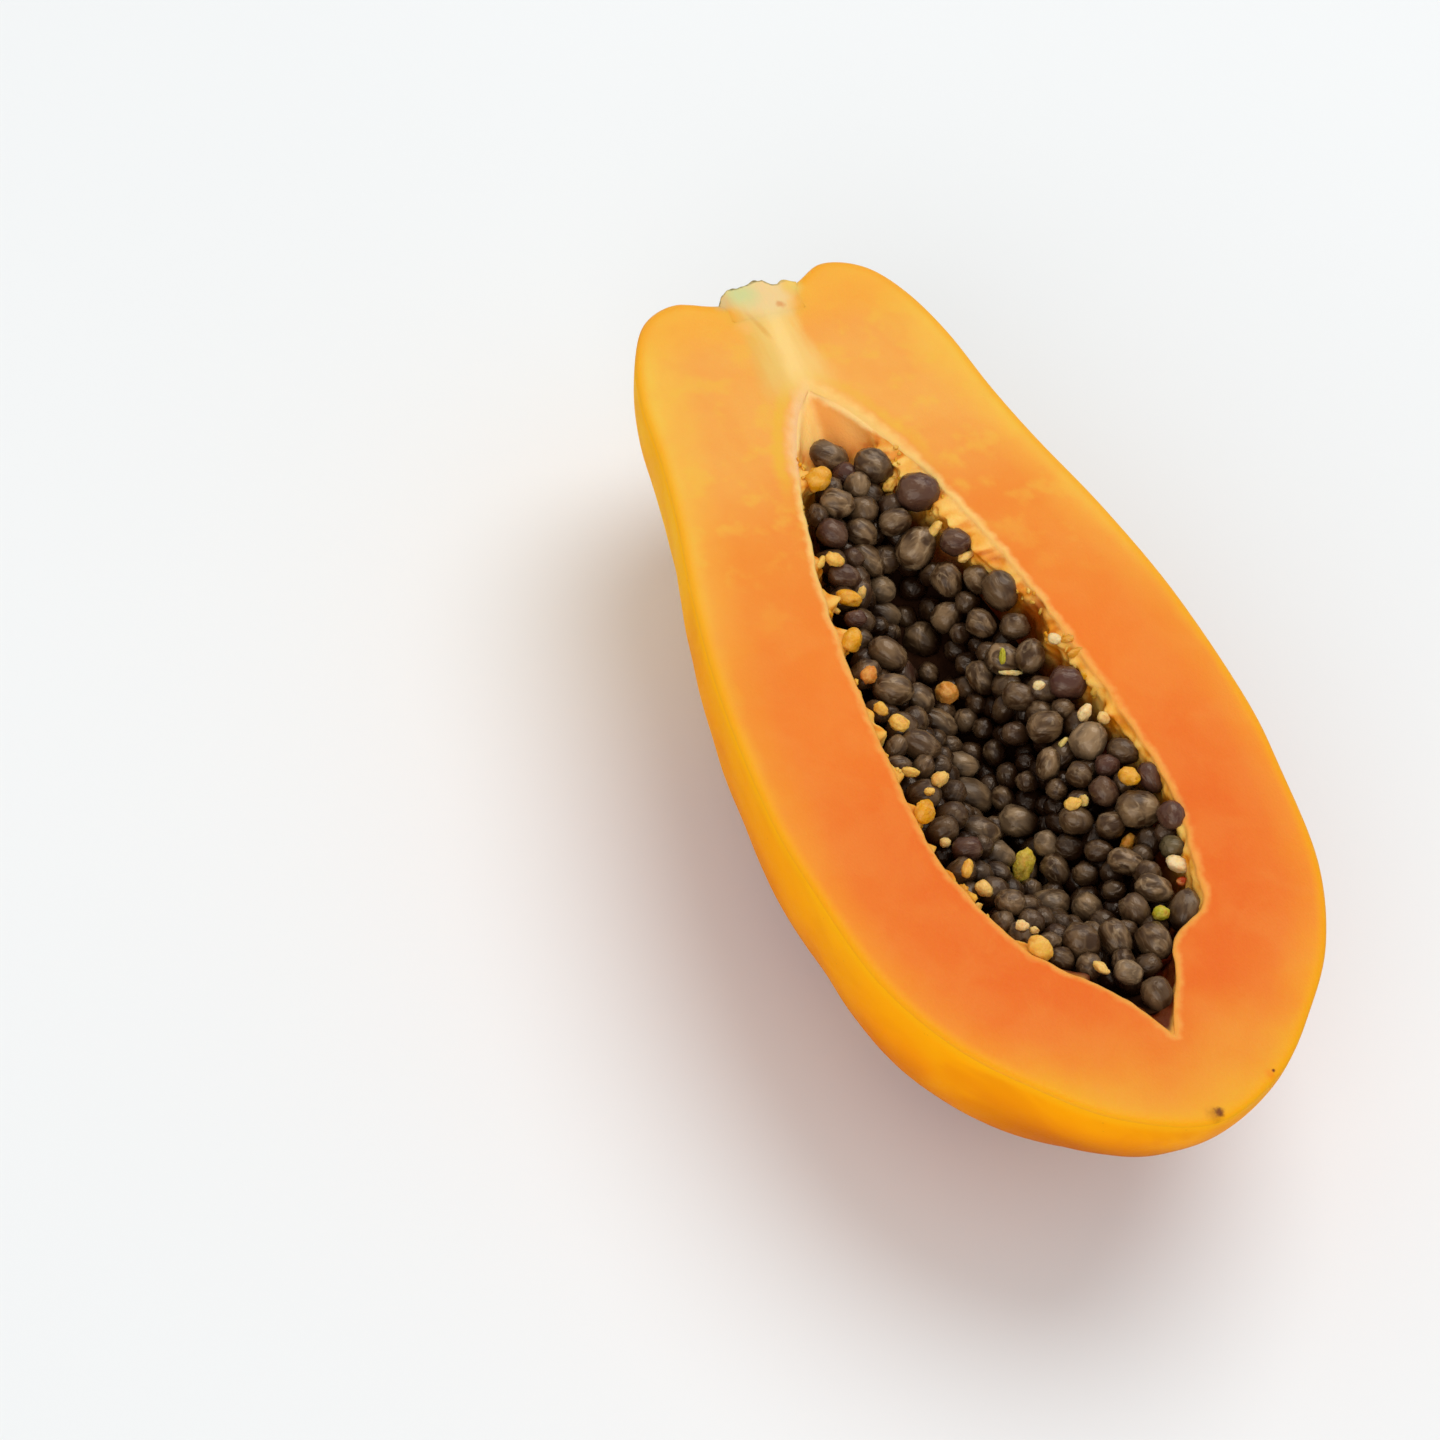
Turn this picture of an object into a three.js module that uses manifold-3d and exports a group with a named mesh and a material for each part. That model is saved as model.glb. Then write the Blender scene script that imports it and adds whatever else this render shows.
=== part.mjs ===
// Half of a ripe papaya, cut lengthwise through its axis. It lies on its rounded side with the cut
// face up. Three solids: the flesh with its skin and the open seed cavity, the cut stub of the stem
// in the notch at the top, and the bed of seeds that lines the cavity round an empty groove.
// Millimetres, +Z up, +Y towards the stem. The model is built with the cut face at Z = 0 and mid
// length at Y = 0, and the group then moves it so that its box stands on the origin.
import * as THREE from "three";
import { mergeVertices } from "three/addons/utils/BufferGeometryUtils.js";
import Module from "manifold-3d";

const wasm = await Module();
wasm.setup();

// ---------------------------------------------------------------- driving dimensions
const LENGTH = 180; // from the floor of the stem notch to the blossom end
const HALF_WIDTH = 44.2; // widest half width of the cut face, at the belly
const GAP = 0.35; // clearance between neighbouring solids
const HALF_TURN = Math.PI;
const QUARTER_TURN = Math.PI / 2;

// The body.
const DEPTH_RATIO = 1.09; // depth below the cut, as a share of the half width
const NECK_DEPTH = 0.07; // the neck is this much deeper still
const NECK_FROM = 10; // height along the axis where the neck starts to deepen
const NECK_RUN = 60; // length over which it deepens
const BOW = 1.15; // the axis bends this far to the left towards the blossom end
const BOW_FROM = 40;
const BOW_RUN = 110;
const SHOULDER_SKEW = 1.3; // the right shoulder stands higher than the left by twice this
const SHOULDER_FROM = 65;
const SHOULDER_RUN = 25;
const SHOULDER_HALF_GAP = 13; // half the distance between the two shoulders' tops
const LOBES = 5; // the fruit and its cavity are both faintly five-sided
const LOBE_HEIGHT = 0.01; // as a share of the radius
const LOBE_FADE = 36; // length over which the lobes fade at each end
const REST_CUT = 1.5; // how much of the belly the flat resting spot takes off

// The cavity.
const CAVITY_HALF_WIDTH = 21.9;
const CAVITY_DEPTH_RATIO = 1.02;
const CAVITY_STAR = 0.05; // height of the cavity's five lobes, as a share of the radius
const TIP_RADIUS = 2; // offsets of the wall taper off within this radius, so the tips stay sharp

// The stub of the stem.
const STUB_RADIUS = 6.4;
const STUB_SHIFT = -0.7; // it stands this far to the right of the axis
const STUB_TEAR = 0.5; // height of the waves on its broken end

// The seeds, in their jelly coats.
const SEED_RADIUS = 3.05; // mean half thickness
const SEED_SPREAD = 0.45; // seeds differ from the mean by up to this much
const SEED_COUNT = 300;
const SEED_TOP = 56; // the seeds end here, and the cavity above is bare
const SEED_CLOSENESS = 0.97; // distance between neighbours, as a share of their radii
const PROUD_LOW = -0.3; // a seed reaches from this far under the bed's surface
const PROUD_HIGH = 0.8; // to this far above it
const PACKING_ROUNDS = 140;
const SHOWN_DEPTH = 1.35; // seeds are made down to this many radii under the bed's surface
const SEED_GIRTH = 0.87; // girth and length of a made seed, as shares of its radius
const SEED_STRETCH = 1.02;
const SEED_TILT = 0.6;
const CORE_DEPTH = 0.75; // the mass between the seeds lies this many radii under the surface

// The empty groove between the two banks of seeds.
const GROOVE_DEPTH = 12;
const GROOVE_WIDTH = 0.3; // as a share of the cavity's half width
const BANK_SLOPE = 3.5; // how far the banks fall from the rim towards the groove
const GROOVE_TOP = 46;
const GROOVE_BOTTOM = -56;
const GROOVE_RUN = 24; // length over which the groove deepens at each end
const GROOVE_WANDER = 1.2; // the groove winds this far to either side
const GROOVE_WAVE = 11; // one radian of its winding
const FRONT_RUN = 8; // length of the steep front where the seeds end

// Fineness of the solids.
const BODY_STEPS = 44;
const BODY_SECTORS = 64;
const CAVITY_STEPS = 34;
const CAVITY_SECTORS = 32;
const STUB_STEPS = 14;
const STUB_SECTORS = 24;
const SEED_SECTORS = 5;
const SEED_BANDS = 4;
const BED_CELLS = [8, 20];

// Half outlines on the cut face, as [share of the half width, share of the length]. Zero is mid length.
const BODY_OUTLINE = [
  [0, 0.4917],
  [0.181, 0.508],
  [0.339, 0.5244],
  [0.498, 0.5094],
  [0.606, 0.4694],
  [0.679, 0.4111],
  [0.724, 0.3333],
  [0.783, 0.2611],
  [0.882, 0.1639],
  [0.964, 0.05],
  [1, -0.0833],
  [0.977, -0.1667],
  [0.914, -0.2722],
  [0.768, -0.3556],
  [0.567, -0.4167],
  [0.325, -0.4695],
  [0, -0.4985],
];
const CAVITY_OUTLINE = [
  [0, 0.3806],
  [0.205, 0.35],
  [0.4, 0.3],
  [0.55, 0.247],
  [0.66, 0.197],
  [0.775, 0.136],
  [0.865, 0.067],
  [0.925, 0],
  [0.97, -0.061],
  [1, -0.133],
  [0.985, -0.181],
  [0.88, -0.231],
  [0.725, -0.281],
  [0.5, -0.317],
  [0.27, -0.347],
  [0.11, -0.378],
  [0, -0.4056],
];
// The stub's half outline, as [share of its radius, height along the axis].
const STUB_OUTLINE = [
  [0, 93.2],
  [0.35, 93.9],
  [0.7, 93.6],
  [0.95, 92.2],
  [1, 90.6],
  [0.85, 88.4],
  [0.5, 86.8],
  [0, 86.2],
];

// ---------------------------------------------------------------- small helpers
const lerp = (a, b, t) => a + (b - a) * t;
const clamp = (value, low, high) => Math.min(high, Math.max(low, value));
const smooth = (t) => {
  const s = clamp(t, 0, 1);
  return s * s * (3 - 2 * s);
};
const vector = (x, y, z) => new THREE.Vector3(x, y, z);

// A seeded source of numbers from 0 to 1.
function randomSource(seed) {
  let state = seed >>> 0;
  return () => {
    state = (state + 0x6d2b79f5) >>> 0;
    let t = state;
    t = Math.imul(t ^ (t >>> 15), t | 1);
    t ^= t + Math.imul(t ^ (t >>> 7), t | 61);
    return ((t ^ (t >>> 14)) >>> 0) / 4294967296;
  };
}

// A geometry as a manifold solid.
function solid(geometry) {
  const bare = new THREE.BufferGeometry();
  bare.setAttribute("position", geometry.getAttribute("position").clone());
  bare.setIndex(geometry.index.clone());
  const merged = mergeVertices(bare, 1e-4);
  return new wasm.Manifold(
    new wasm.Mesh({
      numProp: 3,
      vertProperties: merged.getAttribute("position").array,
      triVerts: new Uint32Array(merged.index.array),
    }),
  );
}

// A manifold solid as a named mesh, without the loose scraps that a cut can leave.
function meshOf(made, name, material) {
  const body = made.decompose().sort((a, b) => b.volume() - a.volume())[0];
  const { vertProperties, triVerts } = body.getMesh();
  const geometry = new THREE.BufferGeometry()
    .setAttribute("position", new THREE.BufferAttribute(vertProperties, 3))
    .setIndex(new THREE.BufferAttribute(triVerts, 1));
  geometry.computeVertexNormals();
  const mesh = new THREE.Mesh(geometry, material);
  mesh.name = name;
  return mesh;
}

function boxSolid(low, high) {
  const size = vector(0, 0, 0).subVectors(high, low);
  const box = new THREE.BoxGeometry(size.x, size.y, size.z);
  box.translate((low.x + high.x) / 2, (low.y + high.y) / 2, (low.z + high.z) / 2);
  return solid(box);
}

// Points down a half outline. A rounded end meets the axis squarely, and a plain end comes to a point.
function outlinePoints(outline, halfWidth, length, steps, rounded) {
  const points = outline.map(([x, y]) => new THREE.Vector2(x * halfWidth, y * length));
  const last = points.length - 1;
  const mirrored = (point, end) => (rounded ? new THREE.Vector2(-point.x, point.y) : end.clone());
  const before = mirrored(points[1], points[0]);
  const after = mirrored(points[last - 1], points[last]);
  const curve = new THREE.SplineCurve([before, ...points, after]);
  const spans = last + 2;
  return Array.from({ length: steps + 1 }, (_, i) => {
    const point = curve.getPoint(lerp(1 / spans, (spans - 1) / spans, i / steps));
    if (i === 0 || i === steps) point.x = 0;
    return point;
  });
}

// A lathed solid round the Y axis, its points then moved by reshape(x, y, z).
function lathed(points, sectors, reshape) {
  const geometry = new THREE.LatheGeometry([...points].reverse(), sectors);
  const position = geometry.getAttribute("position");
  for (let i = 0; i < position.count; i++) {
    position.setXYZ(i, ...reshape(position.getX(i), position.getY(i), position.getZ(i)));
  }
  return solid(geometry);
}

// The radius's share in a section with faint lobes, one of them straight down.
function lobed(x, z, height) {
  return 1 + height * Math.cos(LOBES * (Math.atan2(z, x) + QUARTER_TURN));
}

// ---------------------------------------------------------------- fruit
// The body bows and its shoulders lean, as a grown fruit's do, and the neck is deep.
function shapeBody(x, y, z) {
  const fade = smooth((LENGTH / 2 - Math.abs(y)) / LOBE_FADE);
  const share = lobed(x, z, LOBE_HEIGHT * fade);
  const bow = BOW * smooth((BOW_FROM - y) / BOW_RUN);
  const skew = SHOULDER_SKEW * smooth((y - SHOULDER_FROM) / SHOULDER_RUN);
  const lean = skew * clamp(x / SHOULDER_HALF_GAP, -1, 1);
  const depth = DEPTH_RATIO * (1 + NECK_DEPTH * smooth((y - NECK_FROM) / NECK_RUN));
  return [x * share - bow, y + lean, z * share * depth];
}

const FAR = LENGTH; // half a side of the boxes that cut
const aboveCut = boxSolid(vector(-FAR, -FAR, 0), vector(FAR, FAR, FAR));

function fruitHalf() {
  const points = outlinePoints(BODY_OUTLINE, HALF_WIDTH, LENGTH, BODY_STEPS, true);
  const half = lathed(points, BODY_SECTORS, shapeBody).subtract(aboveCut);
  const restLevel = half.boundingBox().min[2] + REST_CUT;
  return half.subtract(boxSolid(vector(-FAR, -FAR, -FAR), vector(FAR, FAR, restLevel)));
}

// ---------------------------------------------------------------- cavity
// The cavity as a whole spindle, grown outwards by grow, or drawn in where grow is below zero.
function cavitySpindle(grow) {
  const points = outlinePoints(CAVITY_OUTLINE, CAVITY_HALF_WIDTH, LENGTH, CAVITY_STEPS, false);
  const longer = 1 + (6 * grow) / LENGTH;
  return lathed(points, CAVITY_SECTORS, (x, y, z) => {
    const wider = Math.max(0, 1 + grow / Math.max(Math.hypot(x, z), TIP_RADIUS));
    const share = lobed(x, z, CAVITY_STAR) * wider;
    return [x * share, y * longer, z * share * CAVITY_DEPTH_RATIO];
  });
}

// The cavity's half width and how fast it changes, at a height along the axis.
const cavityLine = outlinePoints(CAVITY_OUTLINE, CAVITY_HALF_WIDTH, LENGTH, 160, false);
function cavityAt(y) {
  if (y >= cavityLine[0].y || y <= cavityLine[cavityLine.length - 1].y) return [0, 0];
  let i = 0;
  while (cavityLine[i + 1].y > y) i++;
  const a = cavityLine[i];
  const b = cavityLine[i + 1];
  const slope = (b.x - a.x) / (b.y - a.y);
  return [a.x + slope * (y - a.y), slope];
}

// ---------------------------------------------------------------- stem stub
// A squat, uneven nub, grown outwards by grow.
function stemStub(grow) {
  const points = outlinePoints(STUB_OUTLINE, STUB_RADIUS, 1, STUB_STEPS, true);
  const middle = (STUB_OUTLINE[0][1] + STUB_OUTLINE.at(-1)[1]) / 2;
  return lathed(points, STUB_SECTORS, (x, y, z) => {
    const angle = Math.atan2(z, x);
    const uneven = 1 + 0.07 * Math.cos(3 * angle + 1) + 0.04 * Math.cos(7 * angle);
    const share = uneven * (1 + grow / STUB_RADIUS);
    const torn = y > middle ? STUB_TEAR * Math.cos(0.9 * x) * Math.cos(0.7 * z) : 0;
    return [x * share + STUB_SHIFT, y + torn + (grow * (y - middle)) / 4, z * share];
  });
}

// ---------------------------------------------------------------- seeds
// The level of the seeds' tops below the cut: two banks that fall to a groove, closed at both ends.
function bedLevel(x, y) {
  const [halfWidth] = cavityAt(y);
  const middle = GROOVE_WANDER * Math.sin(y / GROOVE_WAVE);
  const t = clamp((x - middle) / Math.max(halfWidth, 1), -1, 1);
  const open = smooth((GROOVE_TOP - y) / GROOVE_RUN) * smooth((y - GROOVE_BOTTOM) / GROOVE_RUN);
  const groove = GROOVE_DEPTH * Math.exp((-t * t) / (GROOVE_WIDTH * GROOVE_WIDTH));
  const front = CAVITY_HALF_WIDTH * 2 * smooth((y - SEED_TOP) / FRONT_RUN + 0.5);
  return -open * (groove + BANK_SLOPE * (1 - t * t)) - front;
}

// The outward normal of the bed's surface.
function bedNormal(x, y) {
  const step = 0.25;
  const dx = (bedLevel(x + step, y) - bedLevel(x - step, y)) / (2 * step);
  const dy = (bedLevel(x, y + step) - bedLevel(x, y - step)) / (2 * step);
  const size = Math.sqrt(dx * dx + dy * dy + 1);
  return [-dx / size, -dy / size, 1 / size];
}

// Seeds strewn at random through the bed.
function strewnSeeds() {
  const random = randomSource(7);
  const seeds = [];
  const low = cavityLine[cavityLine.length - 1].y;
  while (seeds.length < SEED_COUNT) {
    const y = lerp(low, SEED_TOP, random());
    const x = lerp(-CAVITY_HALF_WIDTH, CAVITY_HALF_WIDTH, random());
    const z = lerp(-CAVITY_HALF_WIDTH, 0, random());
    const r = SEED_RADIUS + SEED_SPREAD * (random() + random() - 1);
    const proud = lerp(PROUD_LOW, PROUD_HIGH, random());
    const reach = cavityAt(y)[0] - r * 0.6;
    if (Math.sqrt(x * x + z * z) < reach && z < bedLevel(x, y)) seeds.push({ x, y, z, r, proud });
  }
  return seeds;
}

// Moves two seeds apart until they just touch.
function pushApart(a, b) {
  const dx = b.x - a.x;
  const dy = b.y - a.y;
  const dz = b.z - a.z;
  const reach = SEED_CLOSENESS * (a.r + b.r);
  const square = dx * dx + dy * dy + dz * dz;
  if (square >= reach * reach || square === 0) return;
  const distance = Math.sqrt(square);
  const push = (0.5 * (reach - distance)) / distance;
  a.x -= dx * push;
  a.y -= dy * push;
  a.z -= dz * push;
  b.x += dx * push;
  b.y += dy * push;
  b.z += dz * push;
}

// Moves a seed back inside the cavity's wall and under the bed's surface.
function keepInside(seed) {
  const [halfWidth, slope] = cavityAt(seed.y);
  const depth = seed.z / CAVITY_DEPTH_RATIO;
  const radius = Math.max(Math.sqrt(seed.x * seed.x + depth * depth), 1e-6);
  const tilt = Math.sqrt(1 + slope * slope);
  const over = (radius - halfWidth) / tilt + seed.r * 0.94;
  if (over > 0) {
    seed.x -= (over * seed.x) / (radius * tilt);
    seed.y += (over * slope) / tilt;
    seed.z -= (over * depth) / (radius * tilt);
  }
  const [nx, ny, nz] = bedNormal(seed.x, seed.y);
  const above = (seed.z - bedLevel(seed.x, seed.y)) * nz + seed.r - seed.proud;
  if (above > 0) {
    seed.x -= above * nx;
    seed.y -= above * ny;
    seed.z -= above * nz;
  }
}

// Seeds pushed apart and kept inside, round after round, until they lie against each other.
function packedSeeds() {
  const seeds = strewnSeeds();
  for (let round = 0; round < PACKING_ROUNDS; round++) {
    for (let i = 0; i < seeds.length; i++) {
      for (let j = i + 1; j < seeds.length; j++) pushApart(seeds[i], seeds[j]);
    }
    seeds.forEach(keepInside);
  }
  return seeds;
}

// A seed that shows has its middle near enough to the bed's surface.
function isShown(seed) {
  const nz = bedNormal(seed.x, seed.y)[2];
  return (bedLevel(seed.x, seed.y) - seed.z) * nz < seed.r * SHOWN_DEPTH;
}

// One seed: a slightly long ellipsoid, turned its own way.
function seedSolid(seed, random) {
  const shape = new THREE.SphereGeometry(seed.r, SEED_SECTORS, SEED_BANDS);
  shape.scale(SEED_GIRTH, SEED_STRETCH, SEED_GIRTH);
  shape.rotateX(lerp(-SEED_TILT, SEED_TILT, random()));
  shape.rotateZ(HALF_TURN * random());
  shape.translate(seed.x, seed.y, seed.z);
  return solid(shape);
}

// The mass between the seeds: the cavity's room up to a little below the bed's surface.
function bedCore(room) {
  const block = new THREE.BoxGeometry(2.4 * CAVITY_HALF_WIDTH, LENGTH, FAR, ...BED_CELLS, 1);
  const position = block.getAttribute("position");
  for (let i = 0; i < position.count; i++) {
    if (position.getZ(i) > 0) continue;
    const level = bedLevel(position.getX(i), position.getY(i));
    position.setZ(i, level - CORE_DEPTH * SEED_RADIUS);
  }
  return room.subtract(solid(block));
}

function seedBed() {
  const room = cavitySpindle(-GAP);
  const random = randomSource(11);
  const seeds = packedSeeds().filter(isShown);
  const pieces = seeds.map((seed) => seedSolid(seed, random));
  return wasm.Manifold.union([bedCore(room), ...pieces]).intersect(room);
}

// ---------------------------------------------------------------- group
const fleshMaterial = new THREE.MeshStandardMaterial({ color: 0xf28a30, roughness: 0.4, metalness: 0 });
const stemMaterial = new THREE.MeshStandardMaterial({ color: 0xc9cf7c, roughness: 0.7, metalness: 0 });
const seedMaterial = new THREE.MeshStandardMaterial({ color: 0x2a2320, roughness: 0.3, metalness: 0 });

const flesh = fruitHalf().subtract(cavitySpindle(0)).subtract(stemStub(GAP));
const half = new THREE.Group();
half.name = "papaya_half";
half.add(meshOf(flesh, "flesh", fleshMaterial));
half.add(meshOf(stemStub(0).subtract(aboveCut), "stem_stub", stemMaterial));
half.add(meshOf(seedBed(), "seed_bed", seedMaterial));

const bounds = new THREE.Box3().setFromObject(half);
const middle = bounds.getCenter(vector(0, 0, 0));
half.position.set(-middle.x, -middle.y, -bounds.min.z);

export default half;
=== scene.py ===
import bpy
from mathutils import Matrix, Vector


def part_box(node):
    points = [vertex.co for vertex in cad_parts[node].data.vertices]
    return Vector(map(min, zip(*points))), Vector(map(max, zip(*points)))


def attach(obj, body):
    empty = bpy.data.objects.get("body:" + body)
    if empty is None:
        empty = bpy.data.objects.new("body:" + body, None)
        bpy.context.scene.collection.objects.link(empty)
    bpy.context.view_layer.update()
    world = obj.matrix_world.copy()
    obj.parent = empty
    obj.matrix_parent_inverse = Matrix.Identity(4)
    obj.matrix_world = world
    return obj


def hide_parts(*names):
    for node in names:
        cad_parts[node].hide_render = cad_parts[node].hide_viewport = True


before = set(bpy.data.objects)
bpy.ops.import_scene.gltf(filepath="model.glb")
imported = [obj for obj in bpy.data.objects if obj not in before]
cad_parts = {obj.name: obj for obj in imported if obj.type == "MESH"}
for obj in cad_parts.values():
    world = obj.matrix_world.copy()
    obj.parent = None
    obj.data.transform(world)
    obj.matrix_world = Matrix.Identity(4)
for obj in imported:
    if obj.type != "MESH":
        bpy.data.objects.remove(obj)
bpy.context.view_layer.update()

import math

import bmesh
import bpy
import numpy as np
from mathutils import Matrix, Vector, kdtree, noise
from mathutils.bvhtree import BVHTree

# Half of a ripe papaya, cut face up. Shapes are worked out in millimetres with the cut face at
# z = 0, mid length at y = 0 and +y towards the stem, and placed() carries them to the frame.

# ------------------------------------------------------------------ the CAD model's dimensions
LENGTH = 180.0
HALF_WIDTH = 44.2
DEPTH_RATIO = 1.09
NECK_DEPTH, NECK_FROM, NECK_RUN = 0.07, 10.0, 60.0
BOW, BOW_FROM, BOW_RUN = 1.15, 40.0, 110.0
SHOULDER_SKEW, SHOULDER_FROM, SHOULDER_RUN, SHOULDER_HALF_GAP = 1.3, 65.0, 25.0, 13.0
LOBES, LOBE_HEIGHT, LOBE_FADE = 5, 0.01, 36.0
REST_CUT = 1.5
CAVITY_HALF_WIDTH, CAVITY_DEPTH_RATIO, CAVITY_STAR = 21.9, 1.02, 0.05
STUB_RADIUS, STUB_SHIFT = 6.4, -0.7
SEED_TOP, GROOVE_WIDTH = 56.0, 0.3
GROOVE_TOP, GROOVE_BOTTOM, GROOVE_RUN = 46.0, -56.0, 24.0
GROOVE_WANDER, GROOVE_WAVE, FRONT_RUN = 1.2, 11.0, 8.0

BODY_OUTLINE = (
    (0, 0.4917), (0.181, 0.508), (0.339, 0.5244), (0.498, 0.5094), (0.606, 0.4694),
    (0.679, 0.4111), (0.724, 0.3333), (0.783, 0.2611), (0.882, 0.1639), (0.964, 0.05),
    (1, -0.0833), (0.977, -0.1667), (0.914, -0.2722), (0.768, -0.3556), (0.567, -0.4167),
    (0.325, -0.4695), (0, -0.4985),
)
CAVITY_OUTLINE = (
    (0, 0.3806), (0.205, 0.35), (0.4, 0.3), (0.55, 0.247), (0.66, 0.197), (0.775, 0.136),
    (0.865, 0.067), (0.925, 0), (0.97, -0.061), (1, -0.133), (0.985, -0.181), (0.88, -0.231),
    (0.725, -0.281), (0.5, -0.317), (0.27, -0.347), (0.11, -0.378), (0, -0.4056),
)

# ------------------------------------------------------------------ what the dressed half adds
STATIONS, FINE_STEPS = 300, 1600  # rows along the fruit, evened out from finer ones
SKIN_SECTORS = 88
FACE_RINGS = (0, 0.012, 0.03, 0.055, 0.09, 0.14, 0.2, 0.27, 0.35, 0.43, 0.51, 0.59, 0.67, 0.75,
              0.82, 0.88, 0.92, 0.95, 0.97, 0.985, 1)
WALL_SECTORS = 104
WALL_CROWDING = 0.55  # the wall's rows lie closer together near the rim
FAR, SMOOTH_LUMP = 99, 0.7  # what a surface keeps where an edge or a lump is not its own
EDGE_DROOP, EDGE_RUN = 0.6, 0.6  # the knife's edge is rounded over by this much
LIP_DROOP, LIP_RUN = 0.4, 0.5
BARE_LIP_DROOP, BARE_LIP_RUN = 1.0, 1.1  # where the cavity has no seeds
BARE_WALL_LEAN, BARE_LEAN_RUN = 1.3, 0.9
LIP_SWELL, LIP_AT = 0.05, 1.5
FACE_WAVE, SKIN_WAVE, WALL_LUMPS = 0.14, 0.3, 0.9
REST_BLEND = 0.25  # how softly the flat spot that it rests on runs into the round underside
GROOVE_DEPTH, BANK_SLOPE = 9.6, 3.2  # a little shallower than the solid's, as the loose seeds lie in it
SHELF_DROP = 1.7  # how far under the rim the pulp reaches its full width
RIM_WANDER = 0.55
RIM_STEPS = ((-50.5, 3.2, 1.3), (-57.5, 3.6, -2.4))  # on the right: y, half length, how far it goes out
PULP_LEFT, PULP_RIGHT, PULP_NECK = 0.35, 0.6, 2.0  # pulp on the wall holds the seeds off it
CRUMBS, CRUMBS_FROM, CRUMBS_FROM_RIGHT = 90, -44, -6
BIT_REST, BIT_LIFT = 0.36, 0.16  # a bit rests on what is nearest under its middle part
BIT_TOP = -0.7  # no bit's middle is above this
BIT_TURNS = [math.radians(turn) for turn in range(0, 360, 60)]
SHOWN_PROUD, SHOWN_CLOSENESS, SHOWN_ON_WALL, SHOWN_SWELL = 0.2, 0.8, 0.45, 1.07
FILLING_TRIES, FILLING_RADIUS, FILLING_SPREAD = 30000, 2.45, 0.45
FILLING_SINK, FILLING_DEPTH, FILLING_CLOSENESS, FILLING_COVER = 1.3, 10.0, 0.8, 0.12
CORE_SHARE, CORE_EDGE, CORE_UNDER, CORE_LEAST = 0.95, 9.0, 8.0, 0.5
CORE_REACH = (-6, -4, -2, 0, 2, 4, 6)  # it stays under the lowest seeds this near, left to right
# Pulp that stands out from the wall: the side, y, how far it reaches and its half length.
PULP_LOBES = (
    (-1, 50.4, 3.2, 2.2), (-1, 32.2, 2.0, 1.5), (-1, 24.3, 3.0, 1.9), (-1, 16.1, 3.2, 2.4),
    (-1, 5.0, 0.8, 1.4), (-1, 0.4, 1.8, 1.3), (-1, -3.5, 2.6, 1.5), (-1, -12.8, 1.6, 1.5),
    (-1, -20.6, 3.0, 2.0), (-1, -27.7, 1.6, 1.2), (-1, -33.4, 1.8, 1.8), (-1, -37.8, 2.2, 1.8),
    (-1, -50.1, 2.6, 2.0), (-1, -57.5, 2.0, 1.8), (1, 46.0, 1.0, 2.0), (1, 34.0, 1.4, 2.4),
    (1, 27.0, 1.6, 2.0), (1, 13.0, -1.6, 3.6), (1, 6.5, 0.8, 1.6), (1, -3.0, 0.5, 2.0),
    (1, -11.0, 1.4, 2.0), (1, -26.0, -0.8, 3.0),
)

# The stub's torn end, from left to right on the cut's level.
STUB_END = (
    (-7.8, 90.6), (-6.6, 92.4), (-4.9, 93.7), (-3.2, 93.5), (-1.3, 93.9), (0.9, 94.5), (2.2, 94.1),
    (3.4, 92.9), (4.4, 92.6), (5.4, 93.3), (6.6, 93.1), (8.2, 92.2),
)
STUB_FOOT, STUB_SPREAD, STUB_MIDDLE, STUB_CORE = 85.2, 1.25, 0.2, -2.2
STUB_RISE, STUB_BLEND = 0.3, 1.4  # the cut top comes up from under the flesh over this way

CAMERA_RIGHT = (0.90482753, -0.39469715, 0.15969126)
CAMERA_UP = (0.22171416, 0.75696865, 0.61468796)
CAMERA_BACK = (-0.36349687, -0.52078078, 0.77243602)
CAMERA_PLACE = (-0.304044, -0.370023, 0.599298)
CAMERA_LENS = 110.0

VEIL, GAIN = 0.026, 1.06  # what the gloss adds to a surface's colour, and what the light makes of it

rng = np.random.default_rng(5)

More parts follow.
